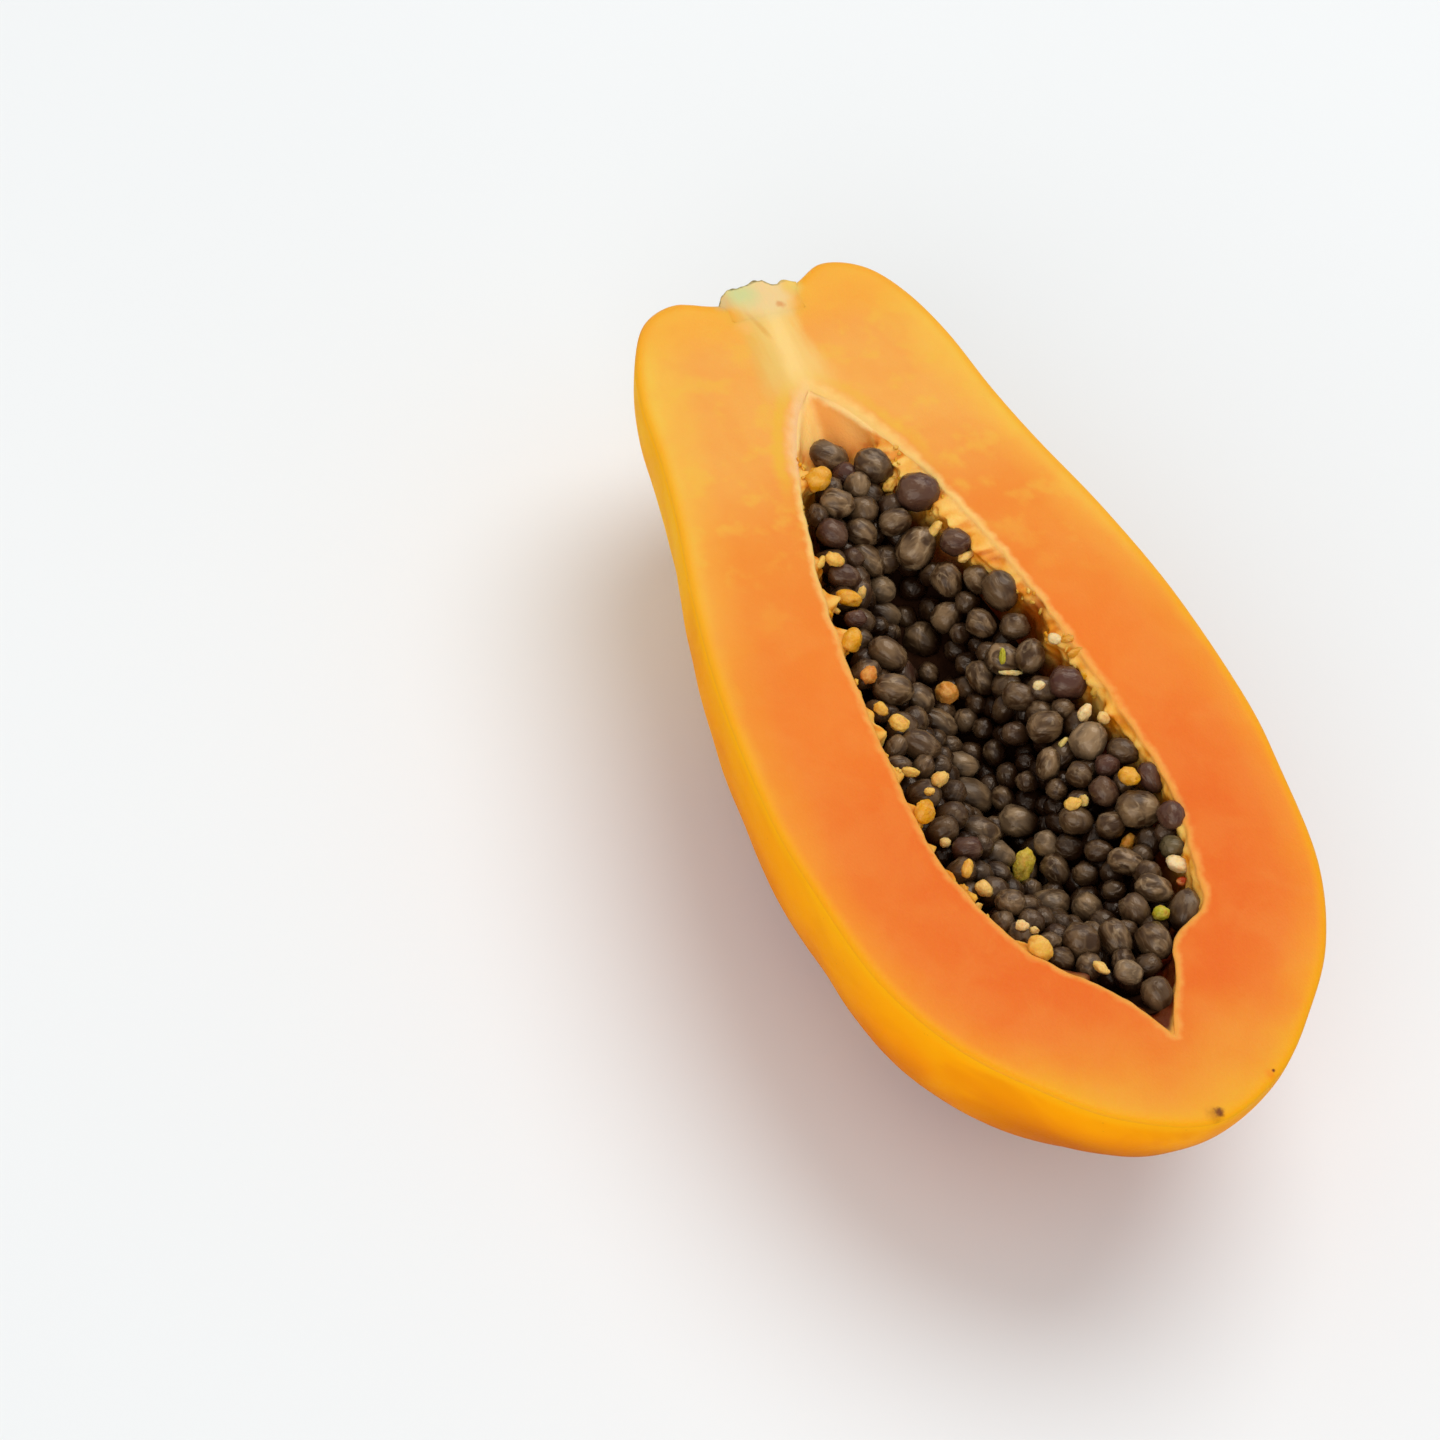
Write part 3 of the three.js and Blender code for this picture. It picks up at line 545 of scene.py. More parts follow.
class Nodes:
    """A node tree and the steps that looks and shapes are made of."""

    def __init__(self, tree):
        self.tree = tree

    def link(self, socket, value):
        if isinstance(value, Field):
            self.tree.links.new(value.socket, socket)
        else:
            socket.default_value = value

    def add(self, kind, inputs=None, out=None, **settings):
        """A new node's output, the first in use or the one named."""
        node = self.tree.nodes.new(kind)
        for label, value in settings.items():
            setattr(node, label, value)
        for label, value in (inputs or {}).items():
            used = [socket for socket in node.inputs if socket.enabled and socket.name == label]
            self.link(used[0] if used else node.inputs[label], value)
        used = [socket for socket in node.outputs if socket.enabled]
        return Field(self, node.outputs[out] if out else used[0])

    def sums(self, operation, *values):
        return self.add("ShaderNodeMath", dict(enumerate(values)), operation=operation)

    def vector_sums(self, operation, *values, out="Vector", **named):
        inputs = {**dict(enumerate(values)), **named}
        return self.add("ShaderNodeVectorMath", inputs, out, operation=operation)

    def parts(self, vector):
        node = self.add("ShaderNodeSeparateXYZ", {0: vector}).socket.node
        return [Field(self, socket) for socket in node.outputs]

    def joined(self, x, y, z):
        return self.add("ShaderNodeCombineXYZ", {0: x, 1: y, 2: z})

    def ranged(self, value, low, high, to_low=0.0, to_high=1.0, kind="SMOOTHSTEP"):
        return self.add("ShaderNodeMapRange", {
            "Value": value, "From Min": low, "From Max": high, "To Min": to_low,
            "To Max": to_high}, interpolation_type=kind)

    def mixed(self, share, a, b):
        return self.add("ShaderNodeMix", {"Factor": share, "A": a, "B": b}, data_type="RGBA")

    def ramp(self, value, stops):
        """Colours along a value, as (where, colour) stops."""
        made = self.add("ShaderNodeValToRGB", {0: value})
        marks = made.socket.node.color_ramp.elements
        while len(marks) < len(stops):
            marks.new(0.5)
        for mark, (at, colour) in zip(marks, stops):
            mark.position = at
            mark.color = colour
        return made

    def attribute(self, name, out="Fac"):
        return self.add("ShaderNodeAttribute", out=out, attribute_name=name)

    def stretched(self, vector, scale, turn=(0, 0, 0), shift=(0, 0, 0)):
        return self.add("ShaderNodeMapping", {
            "Vector": vector, "Location": shift, "Scale": scale, "Rotation": turn})

    def millimetres(self):
        """Object coordinates in millimetres round the cut face."""
        place = self.add("ShaderNodeTexCoord", out="Object")
        return self.stretched(place, (1000, 1000, 1000), shift=tuple(-OFFSET))

    def noisy(self, vector, size, detail=2.0, roughness=0.5, distortion=0.0):
        return self.add("ShaderNodeTexNoise", {
            "Vector": vector, "Scale": 1 / size, "Detail": detail, "Roughness": roughness,
            "Distortion": distortion})

    def bumped(self, height, distance, strength):
        return self.add("ShaderNodeBump", {
            "Height": height, "Distance": distance, "Strength": strength})

    def cloudy(self, vector, colour, patch_colour, size, amount, grain_size=0.6):
        """A colour with cloudy patches of another, and a fine grain."""
        node = self.add("ShaderNodeGroup", {
            "Vector": vector, "Colour": colour, "Patch Colour": patch_colour, "Patch Size": size,
            "Amount": amount, "Grain Size": grain_size}, node_tree=patches).socket.node
        return [Field(self, socket) for socket in node.outputs]

    def mark(self, vector, centre, radius, softness, raggedness=0.5, rag_size=1.0):
        """A round mark: 1 at its centre and 0 outside."""
        return self.add("ShaderNodeGroup", {
            "Vector": vector, "Centre": centre, "Radius": radius, "Softness": softness,
            "Raggedness": raggedness, "Rag Size": rag_size}, node_tree=marks)


def new_group(name, kind, inputs, outputs):
    """A node group with named sockets: its nodes, what it is given, and its way out."""
    tree = bpy.data.node_groups.new(name, kind)
    for label, socket_kind, value in inputs:
        socket = tree.interface.new_socket(label, in_out="INPUT", socket_type="NodeSocket" + socket_kind)
        if value is not None:
            socket.default_value = value
    for label, socket_kind in outputs:
        tree.interface.new_socket(label, in_out="OUTPUT", socket_type="NodeSocket" + socket_kind)
    nodes = Nodes(tree)
    given = {socket.name: Field(nodes, socket) for socket in tree.nodes.new("NodeGroupInput").outputs}
    return nodes, given, tree.nodes.new("NodeGroupOutput").inputs


def patches_group():
    """Cloudy patches in a colour, at two sizes, with fine grain in the height."""
    nodes, given, out = new_group("cloudy_patches", "ShaderNodeTree", (
        ("Vector", "Vector", None), ("Colour", "Color", None), ("Patch Colour", "Color", None),
        ("Patch Size", "Float", 14.0), ("Amount", "Float", 0.3), ("Grain Size", "Float", 0.6),
    ), (("Colour", "Color"), ("Grain", "Float")))
    large = nodes.add("ShaderNodeTexNoise", {
        "Vector": given["Vector"], "Scale": 1.0 / given["Patch Size"], "Detail": 3.0, "Distortion": 0.6})
    share = nodes.ranged(large, 0.38, 0.68) * given["Amount"]
    nodes.link(out["Colour"], nodes.mixed(share, given["Colour"], given["Patch Colour"]))
    nodes.link(out["Grain"], nodes.add("ShaderNodeTexNoise", {
        "Vector": given["Vector"], "Scale": 1.0 / given["Grain Size"], "Detail": 3.0, "Roughness": 0.6}))
    return nodes.tree


def mark_group():
    """A round mark with a ragged edge: 1 at its centre and 0 outside."""
    nodes, given, out = new_group("ragged_mark", "ShaderNodeTree", (
        ("Vector", "Vector", None), ("Centre", "Vector", None), ("Radius", "Float", 2.0),
        ("Softness", "Float", 1.0), ("Raggedness", "Float", 0.5), ("Rag Size", "Float", 1.0),
    ), (("Mark", "Float"),))
    way = nodes.vector_sums("DISTANCE", given["Vector"], given["Centre"], out="Value")
    rag = nodes.add("ShaderNodeTexNoise", {
        "Vector": given["Vector"], "Scale": 1.0 / given["Rag Size"], "Detail": 2.0})
    pushed = (rag - 0.5) * given["Raggedness"] + way
    inner = given["Radius"] - given["Softness"]
    nodes.link(out["Mark"], nodes.ranged(pushed, inner, given["Radius"], 1.0, 0.0))
    return nodes.tree


patches = patches_group()
marks = mark_group()


# ------------------------------------------------------------------ materials
def shader(name, make):
    """A material: make adds its nodes and gives what is linked and what is fixed on its shader."""
    material = bpy.data.materials.new(name)
    material.use_nodes = True
    nodes = Nodes(material.node_tree)
    inputs = nodes.tree.nodes["Principled BSDF"].inputs
    for label, value in make(nodes).items():
        nodes.link(inputs[label], value)
    return material


# The marks round the stub: centre, radius, softness, raggedness and its size, strength, colour.
STUB_MARKS = (
    ((-5.2, 84.8, 0), 2.6, 2.4, 2.0, 1.5, 0.45, (255, 188, 112)),
    ((0.6, 91.6, 0), 8.2, 5.2, 2.0, 2.5, 1.0, (241, 208, 146)),
    ((6.8, 91.8, 0), 3.0, 2.6, 1.0, 1.5, 1.0, (240, 200, 106)),
    ((-3.0, 92.2, 0), 5.2, 4.8, 1.6, 2.0, 0.9, (208, 214, 150)),
    ((-7.0, 91.0, 0), 2.8, 2.6, 0.8, 1.5, 0.8, (214, 190, 138)),
    ((3.1, 88.0, 0), 1.2, 1.0, 1.0, 1.0, 0.7, (224, 146, 82)),
)
# The marks near the tip: a smear round a brown scar, and a small dark dot in its halo.
TIP_MARKS = (
    ((-0.8, -88.4, -0.2), 2.0, 1.6, 1.2, 0.8, 0.6, (196, 128, 40)),
    ((0.1, -88.2, -0.2), 1.2, 1.0, 1.2, 0.6, 0.95, (128, 74, 20)),
    ((11.4, -84.4, 0.0), 1.5, 1.3, 0.5, 0.8, 0.35, (240, 112, 36)),
    ((12.2, -83.9, 0.0), 0.45, 0.3, 0.2, 0.5, 1.0, (120, 56, 20)),
)


def marked(nodes, place, colour, rows):
    for centre, radius, softness, raggedness, rag_size, share, rgb in rows:
        mark = nodes.mark(place, centre, radius, softness, raggedness, rag_size)
        colour = nodes.mixed(mark * share, colour, lit(*rgb))
    return colour


def stem_tint(nodes, place, colour):
    """Cream and pale green where the flesh runs into the stub of the stem."""
    x, y, _ = nodes.parts(place)
    fibres = nodes.noisy(nodes.stretched(place, (1.0, 0.14, 0.3), (0, 0, 0.1)), 1.2, 3.0)
    waver = fibres * 3.0 - 1.5

    def strand(high, low, width, softness, waviness):
        """A line down the neck from x = high at the stub to x = low at the cavity's tip."""
        line = nodes.ranged(y, 70.0, 90.0, low, high, "LINEAR")
        off = (x - (waver * waviness + line)) * nodes.ranged(y, 68.0, 82.0, 0.66, 1.0)
        return nodes.ranged(abs(off), width, width + softness, 1.0, 0.0)

    fade_in = nodes.ranged(y, 64.0, 75.0)
    core = strand(0.6, -0.8, 2.4, 3.4, 0.9) * fade_in
    olive = strand(-3.6, -5.2, 1.0, 2.4, 0.4) * nodes.ranged(y, 64.0, 74.0)
    bright = strand(1.0, -0.9, 0.3, 2.2, 0.6) * fade_in
    seam = strand(-4.2, 1.0, 0.1, 0.7, 0.15) * nodes.ranged(y, 80.0, 83.0) * nodes.ranged(y, 90.5, 88.0)
    for line, share, rgb in ((core, 0.85, (247, 205, 122)), (olive, 0.45, (228, 192, 100)),
                             (bright, 0.65, (254, 218, 140)), (seam, 0.5, (224, 160, 76))):
        colour = nodes.mixed(line * share, colour, lit(*rgb))
    return marked(nodes, place, colour, STUB_MARKS), fibres


# Where along the fruit each band of flesh colours takes over, and its colours from skin to cavity.
FLESH_BANDS = (
    (-99.0, -90.0, ((0.0, (242, 182, 48)), (0.2, (243, 174, 58)), (1.0, (243, 162, 66)))),
    (-90.0, -62.0, ((0.0, (246, 160, 46)), (0.12, (244, 148, 52)), (0.35, (240, 127, 52)),
                    (0.7, (237, 115, 47)), (1.0, (237, 116, 46)))),
    (-30.0, 2.0, ((0.0, (245, 180, 60)), (0.14, (243, 150, 55)), (0.4, (242, 134, 54)),
                  (1.0, (243, 129, 50)))),
    (2.0, 34.0, ((0.0, (246, 194, 76)), (0.18, (246, 168, 68)), (0.42, (243, 148, 60)),
                 (1.0, (241, 140, 57)))),
    (34.0, 62.0, ((0.0, (243, 202, 80)), (0.14, (246, 188, 80)), (0.4, (246, 174, 84)),
                  (1.0, (246, 178, 88)))),
)


def flesh_looks(nodes):
    place = nodes.millimetres()
    x, y, _ = nodes.parts(place)
    to_skin = nodes.attribute("to_skin")
    to_cavity = nodes.attribute("to_cavity")
    wobble = nodes.noisy(place, 14.0)
    across = to_skin / (to_skin + to_cavity) + (wobble * 0.24 - 0.12)
    along = wobble * 16.0 + (y - 8.0)
    colour = lit(243, 162, 66)
    for low, high, stops in FLESH_BANDS:
        band = nodes.ramp(across, [(at, lit(*rgb)) for at, rgb in stops])
        colour = nodes.mixed(nodes.ranged(along, low, high), colour, band)
    colour, grain = nodes.cloudy(place, colour, lit(245, 158, 74), 10.0, 0.2, 0.5)
    turned = nodes.stretched(place, (1, 1, 1), (0.4, 0.2, 1.0))
    colour, _ = nodes.cloudy(turned, colour, lit(238, 112, 46), 17.0, 0.12, 0.5)
    yellow = nodes.ranged(nodes.noisy(place, 6.5, 3.0), 0.5, 0.68) * nodes.ranged(y, 6.0, 50.0, 0.0, 0.45)
    colour = nodes.mixed(yellow, colour, lit(243, 190, 76))

    # The pale line round the cavity, wider round its bare end, with a yellow band outside it there.
    bare = nodes.ranged(y, 46.0, 54.0)
    left = nodes.ranged(x, 1.0, -1.0)
    rim_way = to_cavity + (nodes.noisy(place, 2.2) * 1.6 - 0.8)
    rim_width = bare * nodes.ranged(left, 0.0, 1.0, 0.9, 1.1) + 1.7
    past_rim = rim_way - rim_width
    leafy = nodes.ranged(past_rim, -0.8, 0.4) * nodes.ranged(past_rim, 0.8, 2.6, 1.0, 0.0)
    leafy = leafy * nodes.ranged(y, 42.0, 54.0) * nodes.ranged(left, 0.0, 1.0, 0.3, 0.55)
    colour = nodes.mixed(leafy, colour, lit(238, 190, 58))
    rim = nodes.ranged(rim_way, 0.2, rim_width, 1.0, 0.0) * nodes.ranged(y, -20.0, 50.0, 0.75, 0.95)
    rim_colour = nodes.mixed(nodes.ranged(y, -10.0, 50.0), lit(249, 178, 90), lit(255, 210, 128))
    rim_colour = nodes.mixed(bare * left, rim_colour, lit(254, 204, 146))
    colour = nodes.mixed(rim, colour, rim_colour)

    colour = nodes.mixed(nodes.ranged(to_skin, 0.2, 2.4, 0.8, 0.0), colour, lit(249, 172, 38))
    colour = marked(nodes, place, colour, TIP_MARKS)
    colour = nodes.mixed(nodes.ranged(y, 78.0, 88.0) * 0.5, colour, lit(248, 167, 62))
    colour, fibres = stem_tint(nodes, place, colour)
    return {
        "Base Color": colour, "Roughness": nodes.ranged(grain, 0.3, 0.7, 0.42, 0.56),
        "Normal": nodes.bumped(fibres * 0.5 + grain, 0.00025, 0.3),
        "Subsurface Weight": 0.3, "Subsurface Radius": (1.0, 0.4, 0.12), "Subsurface Scale": 0.003,
        "Specular IOR Level": 0.2, "Coat Weight": 0.03, "Coat Roughness": 0.3, "IOR": 1.4}


def skin_looks(nodes):
    place = nodes.millimetres()
    _, y, z = nodes.parts(place)
    # Painted shade: the skin is darker from the cut edge down to the underside.
    down = nodes.noisy(place, 15.0) * 14.0 + (z - 7.0)
    colour = nodes.ramp(nodes.ranged(down, 0.0, -40.0, 0.0, 1.0, "LINEAR"), (
        (0.0, tint(255, 166, 0)), (0.28, tint(246, 146, 0)), (0.55, tint(214, 112, 0)),
        (1.0, tint(180, 86, 0))))
    colour = nodes.mixed(nodes.ranged(y, 10.0, 60.0, 0.0, 0.85), colour, tint(252, 192, 30))
    colour, grain = nodes.cloudy(place, colour, tint(252, 172, 4), 18.0, 0.35, 0.7)
    turned = nodes.stretched(place, (1, 0.45, 1), (0.3, 0.5, 0))
    colour, _ = nodes.cloudy(turned, colour, tint(226, 118, 0), 13.0, 0.35, 0.7)
    # Painted light: a lighter band just under the cut edge.
    colour = nodes.mixed(nodes.ranged(z, -3.0, -0.6, 0.0, 0.7), colour, tint(252, 176, 20))
    # Painted shade: darker still low down near the tip.
    low_tip_shade = nodes.ranged(y, -60.0, -82.0) * nodes.ranged(z, -5.0, -17.0)
    colour = nodes.mixed(low_tip_shade * 0.75, colour, tint(180, 88, 0))
    green = nodes.mark(place, (12.0, 92.0, -12.0), 26.0, 22.0, 14.0, 9.0)
    colour = nodes.mixed(green * 0.5, colour, tint(196, 180, 50))
    pores = nodes.add("ShaderNodeTexVoronoi", {"Vector": place, "Scale": 0.42, "Randomness": 1.0})
    pore = nodes.ranged(pores, 0.03, 0.1, 1.0, 0.0) * nodes.ranged(nodes.noisy(place, 9.0), 0.45, 0.6)
    colour = nodes.mixed(pore * 0.35, colour, tint(190, 112, 20))
    corky = nodes.mark(place, (-0.7, 89.0, -3.0), 9.0, 3.0, 3.0, 2.0)
    return {
        "Base Color": nodes.mixed(corky, colour, tint(120, 116, 52)),
        "Roughness": nodes.ranged(grain, 0.3, 0.7, 0.42, 0.56),
        "Normal": nodes.bumped(pore * -0.4 + grain, 0.0003, 0.2),
        "Subsurface Weight": 0.12, "Subsurface Radius": (1.0, 0.45, 0.1), "Subsurface Scale": 0.002,
        "Specular IOR Level": 0.02, "Coat Weight": 0.0, "Coat Roughness": 0.35, "IOR": 1.4}


def wall_looks(nodes):
    place = nodes.millimetres()
    x, y, z = nodes.parts(place)
    # The pulp's pale colour on its lumps, with painted shade making it deeper orange in the pits between
    # them.
    pulp = nodes.ramp(nodes.attribute("lump"), (
        (0.0, lit(206, 112, 40)), (0.3, lit(238, 150, 62)), (0.55, lit(250, 188, 92)),
        (1.0, lit(252, 206, 112))))
    pulp, grain = nodes.cloudy(place, pulp, lit(247, 162, 48), 4.0, 0.5, 0.5)
    # Painted shade: the wall goes dark brown at the cavity's tip, beside the last seeds.
    tip_shade = nodes.ranged(y, -48.0, -57.0) * nodes.ranged(z, -0.4, -1.4)
    pulp = nodes.mixed(tip_shade * 0.95, pulp, lit(96, 42, 12))
    gap = nodes.mark(place, (16.5, 12.5, -4.0), 5.5, 3.0, 2.0, 2.0)
    pulp = nodes.mixed(gap * 0.85, pulp, lit(176, 84, 30))
    # Painted shade: the wall darkens to brown further down under the seeds.
    colour = nodes.mixed(nodes.ranged(z, -3.0, -9.0, 0.0, 0.9), pulp, lit(116, 50, 16))

    # The bare end: pale on its left side, where the light falls on it.
    bare = nodes.ranged(y, 53.0, 59.0)
    left = nodes.ranged(nodes.noisy(place, 3.0) * 1.0 + x, 1.4, -0.6)
    bare_colour = nodes.mixed(left, lit(244, 166, 86), lit(261, 206, 122))
    bare_colour = nodes.mixed(nodes.ranged(x, 2.0, 6.0, 0.0, 0.8), bare_colour, lit(255, 188, 104))
    bare_colour = nodes.mixed(nodes.ranged(y, 60.0, 54.5, 0.0, 0.8), bare_colour, lit(238, 130, 66))
    colour = nodes.mixed(bare, colour, bare_colour)
    rim = nodes.mixed(nodes.ranged(y, -10.0, 50.0), lit(249, 174, 86), lit(255, 206, 126))
    rim = nodes.mixed(bare, rim, lit(260, 216, 142))
    down = bare * 0.9 + (nodes.noisy(place, 2.0) * 0.8 + z)
    return {
        "Base Color": nodes.mixed(nodes.ranged(down, 0.1, -0.7, 1.0, 0.0), colour, rim),
        "Roughness": nodes.ranged(grain, 0.3, 0.7, 0.36, 0.52),
        "Normal": nodes.bumped(grain, 0.0003, 0.4),
        "Subsurface Weight": 0.25, "Subsurface Radius": (1.0, 0.4, 0.12), "Subsurface Scale": 0.0015,
        "Specular IOR Level": 0.25, "Coat Weight": 0.05, "Coat Roughness": 0.25, "IOR": 1.38}


def seed_looks(nodes):
    """Folded grey-brown coats, each in its own way by its tone, with painted shade that darkens them deeper
    in the heap.
    """
    tone = nodes.attribute("tone")
    shift = nodes.joined(tone, tone, tone)
    own = nodes.vector_sums("MULTIPLY_ADD", shift, (37.0, 53.0, 71.0), nodes.attribute("on_seed", "Vector"))
    folds = nodes.noisy(nodes.stretched(own, (1.1, 1.1, 0.9)), 1.0, 2.0, 0.5, 0.9)
    colour = nodes.mixed(nodes.ranged(folds, 0.32, 0.66), tint(62, 39, 18), tint(143, 113, 79))
    streaks = nodes.noisy(nodes.stretched(own, (1.9, 1.9, 1.2)), 1.0, 2.0, 0.5, 1.2)
    layers = (
        (nodes.ranged(streaks, 0.58, 0.68, 0.0, 0.4), (182, 154, 117)),
        (nodes.ranged(tone, 0.26, 0.14, 0.0, 0.22), (190, 160, 122)),
        (nodes.ranged(tone, 0.2, 0.75, 0.0, 0.62), (60, 37, 20)),
        (nodes.ranged(tone, 0.78, 0.9, 0.0, 0.6), (84, 44, 44)),
        (nodes.ranged(tone, 0.12, 0.06, 0.0, 0.7), (64, 60, 30)),
        # painted shade: near black the deeper a point lies in the heap
        (nodes.attribute("deep"), (36, 18, 6)),
    )
    for share, rgb in layers:
        colour = nodes.mixed(share, colour, tint(*rgb))
    crease = nodes.noisy(nodes.stretched(own, (1.0, 1.0, 0.5)), 0.42, 2.0, 0.55, 0.5)
    return {
        "Base Color": colour, "Roughness": nodes.ranged(folds, 0.3, 0.7, 0.38, 0.2),
        "Normal": nodes.bumped(crease * 0.35 + folds, 0.0007, 0.7),
        "Specular IOR Level": 0.5, "Specular Tint": (1.0, 0.82, 0.64, 1.0),
        "Coat Weight": 0.15, "Coat Roughness": 0.1, "IOR": 1.4}


def painted_shade_core_looks(nodes):
    # Painted shade: a near black brown for the dark hollow under the seeds.
    colour, grain = nodes.cloudy(
        nodes.millimetres(), tint(38, 18, 6), tint(56, 30, 14), 3.0, 0.6, 0.7)
    return {"Base Color": colour, "Normal": nodes.bumped(grain, 0.0004, 0.4), "Roughness": 0.8,
            "Specular IOR Level": 0.05}


def pulp_looks(nodes):
    """From green through cream, yellow and orange to red, by the mesh's own ripeness."""
    place = nodes.millimetres()
    colour = nodes.ramp(nodes.attribute("ripeness"), (
        (0.0, lit(160, 164, 60)), (0.14, lit(190, 180, 60)), (0.2, lit(214, 184, 56)),
        (0.35, lit(248, 222, 170)), (0.42, lit(248, 206, 132)), (0.5, lit(244, 192, 92)),
        (0.61, lit(234, 164, 44)), (0.74, lit(226, 152, 74)), (0.84, lit(220, 116, 50)),
        (1.0, lit(196, 66, 26))))
    patchy = nodes.ranged(nodes.noisy(place, 1.3, 3.0), 0.42, 0.62)
    colour = nodes.mixed(patchy * 0.35, colour, lit(250, 200, 112))
    turned = nodes.stretched(place, (1, 1, 1), (0.5, 0.2, 0.9))
    shaded = nodes.ranged(nodes.noisy(turned, 1.8), 0.5, 0.68)
    return {
        "Base Color": nodes.mixed(shaded * 0.4, colour, lit(216, 130, 36)),
        "Normal": nodes.bumped(nodes.noisy(place, 0.5, 3.0), 0.0004, 0.6),
        "Roughness": 0.45, "Subsurface Weight": 0.3, "Subsurface Radius": (1.0, 0.5, 0.2),
        "Subsurface Scale": 0.0012, "Specular IOR Level": 0.3, "Coat Weight": 0.08,
        "Coat Roughness": 0.2}


def stem_looks(nodes):
    """The cut stem: the flesh's own tints on top, with bark down its sides and at its torn end."""
    place = nodes.millimetres()
    x, _, z = nodes.parts(place)
    colour, fibres = stem_tint(nodes, place, lit(248, 172, 66))
    rough = nodes.noisy(place, 1.1, 3.0)
    bark = nodes.mixed(nodes.ranged(rough, 0.4, 0.6), tint(98, 100, 62), tint(150, 138, 84))
    torn = nodes.ranged(rough * 1.0 + nodes.attribute("to_end"), 1.1, 0.5)
    colour = nodes.mixed(torn * nodes.ranged(x, 6.0, 2.0, 0.35, 0.9), colour, bark)
    side = nodes.ranged(rough * 1.0 + z, 0.1, -0.6)
    return {
        "Base Color": nodes.mixed(side, colour, bark), "Normal": nodes.bumped(fibres, 0.0004, 0.5),
        "Roughness": 0.55, "Subsurface Weight": 0.3, "Subsurface Radius": (1.0, 0.4, 0.12),
        "Subsurface Scale": 0.003, "Specular IOR Level": 0.2}


# ------------------------------------------------------------------ blobs by geometry nodes
def blob_tree(name):
    """Blobs on points: each is sized and turned by its point and then made lumpy in its own way."""
    nodes, given, out = new_group(name, "GeometryNodeTree", (
        ("Geometry", "Geometry", None), ("Side Points", "Int", 4), ("Length", "Float", 1.1),
        ("Taper", "Float", 0.1), ("Lump Height", "Float", 0.08), ("Lump Scale", "Float", 1.1),
        ("Random Seed", "Int", 3), ("Material", "Material", None)), (("Geometry", "Geometry"),))

    def named(label, kind="FLOAT"):
        return nodes.add("GeometryNodeInputNamedAttribute", {"Name": label}, data_type=kind)

    def moved(geometry, **how):
        return nodes.add("GeometryNodeSetPosition", {"Geometry": geometry, **how})

    side = given["Side Points"]
    cube = nodes.add("GeometryNodeMeshCube", {
        "Size": (2, 2, 2), "Vertices X": side, "Vertices Y": side, "Vertices Z": side}, "Mesh")
    # Drawing the cube's points in towards its face middles evens the faces out on the ball.
    place = nodes.add("GeometryNodeInputPosition")
    bent = nodes.vector_sums("SINE", nodes.vector_sums("SCALE", place, Scale=math.pi / 4))
    ball = moved(cube, Position=nodes.vector_sums("NORMALIZE", bent))
    kept = nodes.add("GeometryNodeStoreNamedAttribute", {
        "Geometry": ball, "Name": "on_seed", "Value": place}, data_type="FLOAT_VECTOR", domain="POINT")
    x, y, z = nodes.parts(place)
    girth = z * given["Taper"] * -1.0 + 1.0
    egg = moved(kept, Position=nodes.joined(x * girth, y * girth, z * given["Length"]))
    size = named("size", "FLOAT_VECTOR")
    strewn = nodes.add("GeometryNodeInstanceOnPoints", {
        "Points": given["Geometry"], "Instance": egg, "Scale": size,
        "Rotation": nodes.add("FunctionNodeEulerToRotation", {0: named("turn", "FLOAT_VECTOR")})})
    real = nodes.add("GeometryNodeRealizeInstances", {"Geometry": strewn})
    own = named("tone") * 60.0 + given["Random Seed"]
    lumps = nodes.add("ShaderNodeTexNoise", {
        "Vector": named("on_seed", "FLOAT_VECTOR"), "W": own, "Scale": given["Lump Scale"],
        "Detail": 1.0}, noise_dimensions="4D")
    push = (lumps * 2.0 - 1.0) * given["Lump Height"] * nodes.vector_sums("LENGTH", size, out="Value")
    normal = nodes.add("GeometryNodeInputNormal")
    lumpy = moved(real, Offset=nodes.vector_sums("SCALE", normal, Scale=push))
    soft = nodes.add("GeometryNodeSetShadeSmooth", {"Geometry": lumpy})
    nodes.link(out["Geometry"], nodes.add("GeometryNodeSetMaterial", {
        "Geometry": soft, "Material": given["Material"]}))
    return nodes.tree


blobs = blob_tree("blobs_on_points")


def grown(name, rows, values):
    """A plain mesh of blobs, one for each row of its place, turn and size in millimetres and its tone."""
    mesh = bpy.data.meshes.new(name + "_places")
    mesh.from_pydata(placed([row["place"] for row in rows]).tolist(), [], [])
    for label in rows[0]:
        numbers = np.array([row[label] for row in rows], np.float32)
        if label in ("turn", "size"):
            layer = mesh.attributes.new(label, "FLOAT_VECTOR", "POINT")
            layer.data.foreach_set("vector", (numbers / (1000 if label == "size" else 1)).ravel())
        elif label != "place":
            layer = mesh.attributes.new(label, "FLOAT", "POINT")
            layer.data.foreach_set("value", numbers)
    holder = into_scene(name + "_places", mesh)
    maker = holder.modifiers.new("grown", "NODES")
    maker.node_group = blobs
    for item in blobs.interface.items_tree:
        if item.item_type == "SOCKET" and item.in_out == "INPUT" and item.name in values:
            maker[item.identifier] = values[item.name]
    graph = bpy.context.evaluated_depsgraph_get()
    made = bpy.data.meshes.new_from_object(
        holder.evaluated_get(graph), preserve_all_data_layers=True, depsgraph=graph)
    made.name = name
    bpy.data.objects.remove(holder)
    bpy.data.meshes.remove(mesh)
    return into_scene(name, made)


